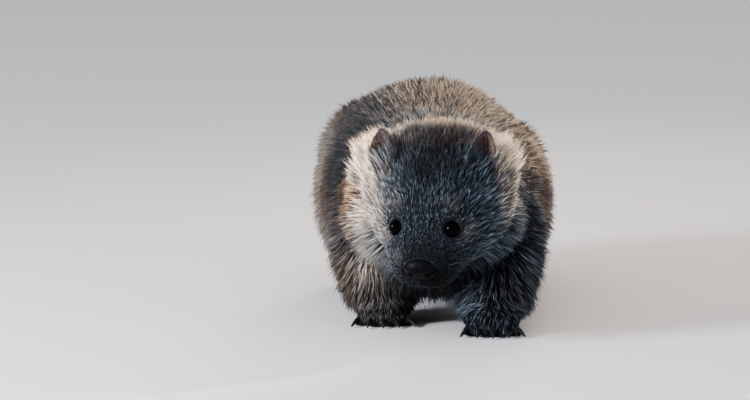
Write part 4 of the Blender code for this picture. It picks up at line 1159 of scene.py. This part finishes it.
def coat_piece(name, kind, root, place, corner, shade, material):
    """One piece of the coat with its root-to-tip shares, shades, markings and bake map."""
    count = len(root)
    faces = (corner[None] + TUFT_POINTS * np.arange(count)[:, None, None]).reshape(-1, 3)
    obj = solid(name, place.reshape(-1, 3), faces, material)
    hold(obj, "along", "FLOAT", np.tile((0, 0.42, 0.42, 0.42, 1), count))
    hold(obj, "shade", "FLOAT", np.repeat(shade, TUFT_POINTS))
    hold_marks(obj, root, TUFT_POINTS)
    area = np.array(((0.5, 0), (0, 0.45), (1, 0.45), (0.5, 0.55), (0.5, 1))) * BAKE_PATCH
    flat = (unwrapped(root, kind)[:, None] + area[None]).reshape(-1, 2)
    layer = obj.data.uv_layers.new(name="OFBake")
    layer.data.foreach_set("uv", flat[faces.ravel()].astype(np.float32).ravel())
    return place_piece(obj, "coat")


def coat_plan(place, way, coat):
    """At each point: roots in a square metre, hair length, lift, bend, tuft width and clumping."""
    at = coordinates(place)
    face, ruff, foot, shank, outer, collar = (
        patch(at, name) for name in ("face hair", "ruff hair", "foot hair", "shank hair",
                                     "outer hair", "collar"))
    nose = np.linalg.norm(in_head(place) - NOSE_AT, axis=1)
    belly, chest = step(-way[:, 2], 0.45, 0.85), hanging(at, way)
    jaw = np.maximum(step(at["wide"], 0.045, 0.090), step(at["rise"], -0.030, -0.070))
    ear = np.maximum(*(step(np.linalg.norm(place - EAR_ROOT[side], axis=1), 0.036, 0.020)
                       for side in SIDES))

    def blended(on_body, on_face, on_foot):
        """A value that changes from the body to the face and to the feet."""
        return blend(blend(on_body, on_face, face), on_foot, foot)

    long = coat.body_hair * (1 - 0.14 * shank) * (1 - 0.10 * belly) + CHEST_HAIR * chest
    long = blend(long, coat.ruff_hair, ruff)
    on_face = 0.40 + 0.46 * step(nose, 0.035, 0.110) + 0.80 * jaw * step(nose, 0.03, 0.08)
    long = blend(long, coat.face_hair * on_face * (1 + patch(at, "beard")), face)
    for side in SIDES:
        long = long * (1 - 0.50 * round_eye(place, side, 0.014, 0.032))
    long = blend(long, FOOT_HAIR, foot) + EAR_BASE_HAIR * ear * (1 - ruff) + COLLAR_HAIR * collar
    crowd = blended(BODY_CROWD * (1 - 0.30 * belly) + RUFF_CROWD_MORE * ruff,
                    FACE_CROWD - JAW_CROWD_LESS * jaw, FOOT_CROWD)
    raised = ruff * patch(at, "ruff lift") * (1 - patch(at, "low ruff lift"))
    lift = blended(36 + 16 * collar + raised + 26 * chest + 6 * outer, 24 + 12 * jaw, 20) + 14 * ear
    wide = blended(coat.tuft_width * (1 - 0.10 * ruff - 0.10 * shank),
                   FACE_TUFT + JAW_TUFT_MORE * jaw, FOOT_TUFT)
    clump = 0.38 + 0.24 * (1 - face) - 0.18 * shank
    return crowd * coat.crowding, long, lift, 10 + 6 * (1 - face), wide, clump


def hair_shades(root, guard, group, rng):
    """How pale each tuft grows to its tip: guard hairs more than the rest, cream hair most."""
    side, along, _ = in_head(root).T
    tuft = rng.random(group.max() + 1)[group]
    on_face = along < 0.06
    alike = 0.60 - 0.35 * on_face
    fleck = (1 - alike) * rng.random(len(root)) + alike * tuft
    shade = np.where(guard, 0.05 + 1.25 * fleck**2, 0.01 + 0.12 * fleck**2)
    shade = shade * (1 + 0.25 * on_face * (2 * step(np.abs(side), 0.03, 0.06) - 1))
    snout = np.linalg.norm(in_head(root) - NOSE_AT, axis=1)
    shade = shade * (1 - 0.15 * step(snout, 0.060, 0.035)) * (1 - 0.70 * step(snout, 0.036, 0.022))
    pale = markings(root)[:, 0] ** 1.5
    return np.maximum(shade, pale * (0.40 + 0.60 * rng.random(len(root))))


def coat_parts(root):
    """Each piece of the coat with the form that its bake map goes round and the roots it takes."""
    x, y, z = root.T
    side, along, rise = in_head(root).T
    on_head = (along < HEAD_COAT_END) & (rise > HEAD_COAT_LOW) & (z > HEAD_COAT_FLOOR)
    on_leg = (z < LEG_COAT_TOP) & (np.abs(x) > LEG_COAT_INSIDE) & ~on_head
    neck = (y < NECK_COAT_END) & ~on_head & ~on_leg
    trunk = ~on_head & ~on_leg & ~neck
    left, front = x > 0, y < SHOULDER_COAT_END
    return (
        ("fur_head_left", "head", on_head & (side > MIDDLE_HALF)),
        ("fur_head_middle", "head", on_head & (np.abs(side) <= MIDDLE_HALF)),
        ("fur_head_right", "head", on_head & (side < -MIDDLE_HALF)),
        ("fur_neck", "trunk", neck),
        ("fur_shoulder_left", "trunk", trunk & left & front),
        ("fur_shoulder_right", "trunk", trunk & ~left & front),
        ("fur_rump_left", "trunk", trunk & left & ~front),
        ("fur_rump_right", "trunk", trunk & ~left & ~front),
        ("fur_forelegs", "legs", on_leg & (y < 0)),
        ("fur_hindlegs", "legs", on_leg & (y >= 0)),
    )


def bald(place):
    """Whether a root falls under the nose pad, an eyeball or its lids, an ear, or the sole."""
    head = in_head(place)
    bare = np.linalg.norm((head - NOSE_AT) / NOSE_HALF, axis=1) < BARE_NOSE
    bare |= place[:, 2] < BARE_SOLE
    for side in SIDES:
        centre, ways = eye_ways(side)
        eye = (place - centre) @ ways
        bare |= (np.hypot(eye[:, 0], eye[:, 2]) < BARE_EYE) & (eye[:, 1] < BARE_BEHIND_EYE)
        middle, ways = ear_ways(side)
        ear = (place - middle) @ ways / EAR_HALF
        bare |= np.linalg.norm(ear, axis=1) < BARE_EAR
    return bare


class WOMBAT_OT_coat(bpy.types.Operator):
    """Grow the coat of solid tufts over the whole skin"""

    bl_idname = "wombat.coat"
    bl_label = "Coat"

    def execute(self, context):
        coat = context.scene.wombat_coat
        rng = np.random.default_rng(SEED)
        place, way, corner = surface(bpy.data.objects["skin"])
        middle = place[corner].mean(1)
        facing = unit(way[corner].mean(1))
        crowd = coat_plan(middle, facing, coat)[0] * ~bald(middle)
        root, up = scattered(place, way, corner, crowd, rng)
        keep = ~bald(root)
        root, up = root[keep], up[keep]
        _, long, lift, bend, wide, clump = coat_plan(root, up, coat)
        count = len(root)
        guard = rng.random(count) < GUARD_SHARE
        long = long * np.where(guard, rng.uniform(1.02, 1.32, count), rng.uniform(0.70, 1.02, count))
        swirl = ripple(root, 0.05, 7) * 9 + ripple(root, 0.015, 8) * 9 + rng.normal(0, 9, count)
        lift = lift + np.where(guard, 6, -4) + rng.normal(0, 6, count) + 4 * ripple(root, 0.03, 9)
        flow, turn = combed(root, up), np.radians(swirl)[:, None]
        flow = flow * np.cos(turn) + np.cross(up, flow) * np.sin(turn)
        wide = wide * rng.uniform(0.75, 1.25, count) * np.where(guard, 1.30, 0.95)
        points, faces, group = spindles(root, up, flow, long, lift, bend, wide, clump, rng)
        points[..., 2] = np.maximum(points[..., 2], TUFT_CLEARANCE)
        shade = hair_shades(root, guard, group, rng)
        material = hair_finish(coat)
        for name, kind, chosen in coat_parts(root):
            coat_piece(name, kind, root[chosen], points[chosen], faces, shade[chosen], material)
        self.ear_coat(material, rng)
        return {"FINISHED"}

    def ear_coat(self, material, rng):
        """Short hair over the backs and edges of the ears, sparse inside them."""
        roots, ups, flows, longs = [], [], [], []
        for side in SIDES:
            centre, ways = ear_ways(side)
            place, corner = ear_shell(side)
            a, b, c = place[corner].transpose(1, 0, 2)
            facing = unit(np.cross(b - a, c - a))
            local = (place[corner].mean(1) - centre) @ ways
            inside = (facing @ ways)[:, 1] < -0.2
            reach = np.hypot(local[:, 0] / EAR_HALF[0], local[:, 2] / EAR_HALF[2])
            crowd = np.where(inside & (reach < 0.88), EAR_CUP_CROWD, EAR_CROWD)
            way = np.zeros_like(place)
            for k in range(3):
                np.add.at(way, corner[:, k], facing)
            root, up = scattered(place, unit(way), corner, crowd, rng)
            out = (root - centre) * 0.6 + ways[:, 2] * 0.03
            roots.append(root)
            ups.append(up)
            flows.append(unit(out - up * dot(out, up)))
            across, _, height = ((root - centre) @ ways / EAR_HALF).T
            longs.append(np.where(np.hypot(across, height) > 0.80, EAR_EDGE_HAIR, EAR_HAIR))
        root, up, flow, long = (np.concatenate(rows) for rows in (roots, ups, flows, longs))
        count = len(root)
        long = long * rng.uniform(0.7, 1.3, count)
        lift = 24 + rng.normal(0, 8, count)
        points, faces, _ = spindles(root, up, flow, long, lift, 8, np.full(count, EAR_TUFT),
                                    np.full(count, 0.3), rng)
        shade = np.clip(0.1 + rng.random(count) ** 1.6, 0, 1)
        coat_piece("fur_ears", "head", root, points, faces, shade, material)


class WOMBAT_OT_whiskers(bpy.types.Operator):
    """Set the whiskers on the muzzle and over the eyes"""

    bl_idname = "wombat.whiskers"
    bl_label = "Whiskers"

    def execute(self, context):
        rng = np.random.default_rng(SEED + 1)
        longest = context.scene.wombat_bare.whisker
        pieces = []
        for sign in (1, -1):
            for row in range(WHISKER_ROWS):
                for i in range(WHISKERS_IN_ROW):
                    root = np.array((sign * (0.030 + 0.0022 * i), -0.108 + 0.0065 * i,
                                     -0.006 - 0.0075 * row + 0.001 * i))
                    root = root + rng.normal(0, 0.0012, 3)
                    way = unit(np.array((sign * 1.0, 0.10 + 0.09 * i, 0.25 - 0.22 * row)))
                    way = way + rng.normal(0, 0.10, 3)
                    long = longest * rng.uniform(0.5, 1.0)
                    share = np.linspace(0, 1, 4)[:, None]
                    sag = np.array((0, 0.35, -0.30)) * long * share**2
                    path = np.hstack([root + way * long * share + sag, WHISKER_RADIUS * (1.05 - share)])
                    place, corner = closed(tube_rings(path, 5, 3, (0, 1, 0.3)))
                    pieces.append((from_head(place), corner))
        hair = whisker_finish(context.scene.wombat_coat)
        place_piece(solid("whiskers", *joined(pieces), hair), "coat")
        return {"FINISHED"}


# Stage.


def area_light(name, place, aim, size, power, colour, spread):
    """A square soft light at a place, turned to its aim, that the camera itself doesn't see."""
    data = bpy.data.lights.new(name, "AREA")
    data.spread = math.radians(spread)
    data.size, data.energy, data.color = size, power, linear(colour)[:3]
    lamp = bpy.data.objects.new(name, data)
    lamp.location = place
    turn_to(lamp, np.asarray(aim) - place)
    lamp.visible_camera = False
    bpy.context.scene.collection.objects.link(lamp)


def turn_to(obj, way):
    """Turns an object's -Z axis along a way and keeps its Y axis upward."""
    x, y, z = unit(np.asarray(way, float))
    obj.rotation_euler = (math.acos(-z), 0, math.atan2(-x, y))


class WOMBAT_OT_stage(bpy.types.Operator):
    """Set the floor, the lights and the camera"""

    bl_idname = "wombat.stage"
    bl_label = "Stage"

    def execute(self, context):
        stage = context.scene.wombat_stage
        # Plain matt paper: it shows the animal's shadow and nothing else.
        paper, _, shader = finish("plain floor", Roughness=0.9, Specular_IOR_Level=0.1)
        shader.inputs["Base Color"].default_value = stage.floor
        turn = np.linspace(0, 2 * np.pi, FLOOR_SIDES, endpoint=False)
        edge = np.stack([np.cos(turn) * FLOOR_RADIUS, np.sin(turn) * FLOOR_RADIUS, turn * 0], -1)
        first = np.arange(FLOOR_SIDES)
        corner = np.stack([first, (first + 1) % FLOOR_SIDES, np.full(FLOOR_SIDES, FLOOR_SIDES)], -1)
        solid("floor", np.vstack([edge, (0, 0, 0)]), corner, paper)
        world = bpy.data.worlds.new("studio")
        world.use_nodes = True
        air = world.node_tree.nodes["Background"]
        air.inputs["Color"].default_value = linear("#dfe4ea")
        air.inputs["Strength"].default_value = stage.sky
        context.scene.world = world
        for name, place, aim, size, source, share, colour, spread in LIGHTS:
            power = share * getattr(stage, source)
            area_light(name, place, aim, size, power, colour, spread)
        data = bpy.data.cameras.new("camera")
        data.lens, data.sensor_width = stage.lens, 36
        data.clip_start, data.clip_end = 0.1, 200
        camera = bpy.data.objects.new("camera", data)
        way = np.array((0, math.cos(stage.height), -math.sin(stage.height)))
        camera.location = CAMERA_AIM - way * stage.distance
        turn_to(camera, way)
        context.scene.collection.objects.link(camera)
        context.scene.camera = camera
        context.scene.view_settings.look = CONTRAST
        return {"FINISHED"}


class WOMBAT_PT_panel(bpy.types.Panel):
    """Lists the pieces of the wombat and their settings"""

    bl_label = "Wombat"
    bl_idname = "WOMBAT_PT_panel"
    bl_space_type = "VIEW_3D"
    bl_region_type = "UI"
    bl_category = "Wombat"

    def draw(self, context):
        for operator in OPERATORS:
            self.layout.operator(operator.bl_idname)
        for group in (context.scene.wombat_coat, context.scene.wombat_bare, context.scene.wombat_stage):
            box = self.layout.box()
            for name in group.__annotations__:
                box.prop(group, name)


GROUPS = {"wombat_coat": WombatCoat, "wombat_bare": WombatBare, "wombat_stage": WombatStage}
OPERATORS = (WOMBAT_OT_skin, WOMBAT_OT_eyes, WOMBAT_OT_ears, WOMBAT_OT_nose, WOMBAT_OT_claws,
             WOMBAT_OT_coat, WOMBAT_OT_whiskers, WOMBAT_OT_stage)


def register():
    """Registers every class and hangs the settings on the scene."""
    for made in (*GROUPS.values(), *OPERATORS, WOMBAT_PT_panel):
        bpy.utils.register_class(made)
    for name, group in GROUPS.items():
        setattr(bpy.types.Scene, name, PointerProperty(type=group))


def unregister():
    """Takes the settings and the classes off again."""
    for name in GROUPS:
        delattr(bpy.types.Scene, name)
    for made in reversed((*GROUPS.values(), *OPERATORS, WOMBAT_PT_panel)):
        bpy.utils.unregister_class(made)


def main():
    """Registers the classes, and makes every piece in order."""
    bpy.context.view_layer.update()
    register()
    bpy.ops.wombat.skin()
    bpy.ops.wombat.eyes()
    bpy.ops.wombat.ears()
    bpy.ops.wombat.nose()
    bpy.ops.wombat.claws()
    bpy.ops.wombat.coat()
    bpy.ops.wombat.whiskers()
    bpy.ops.wombat.stage()


if __name__ == "__main__":
    main()
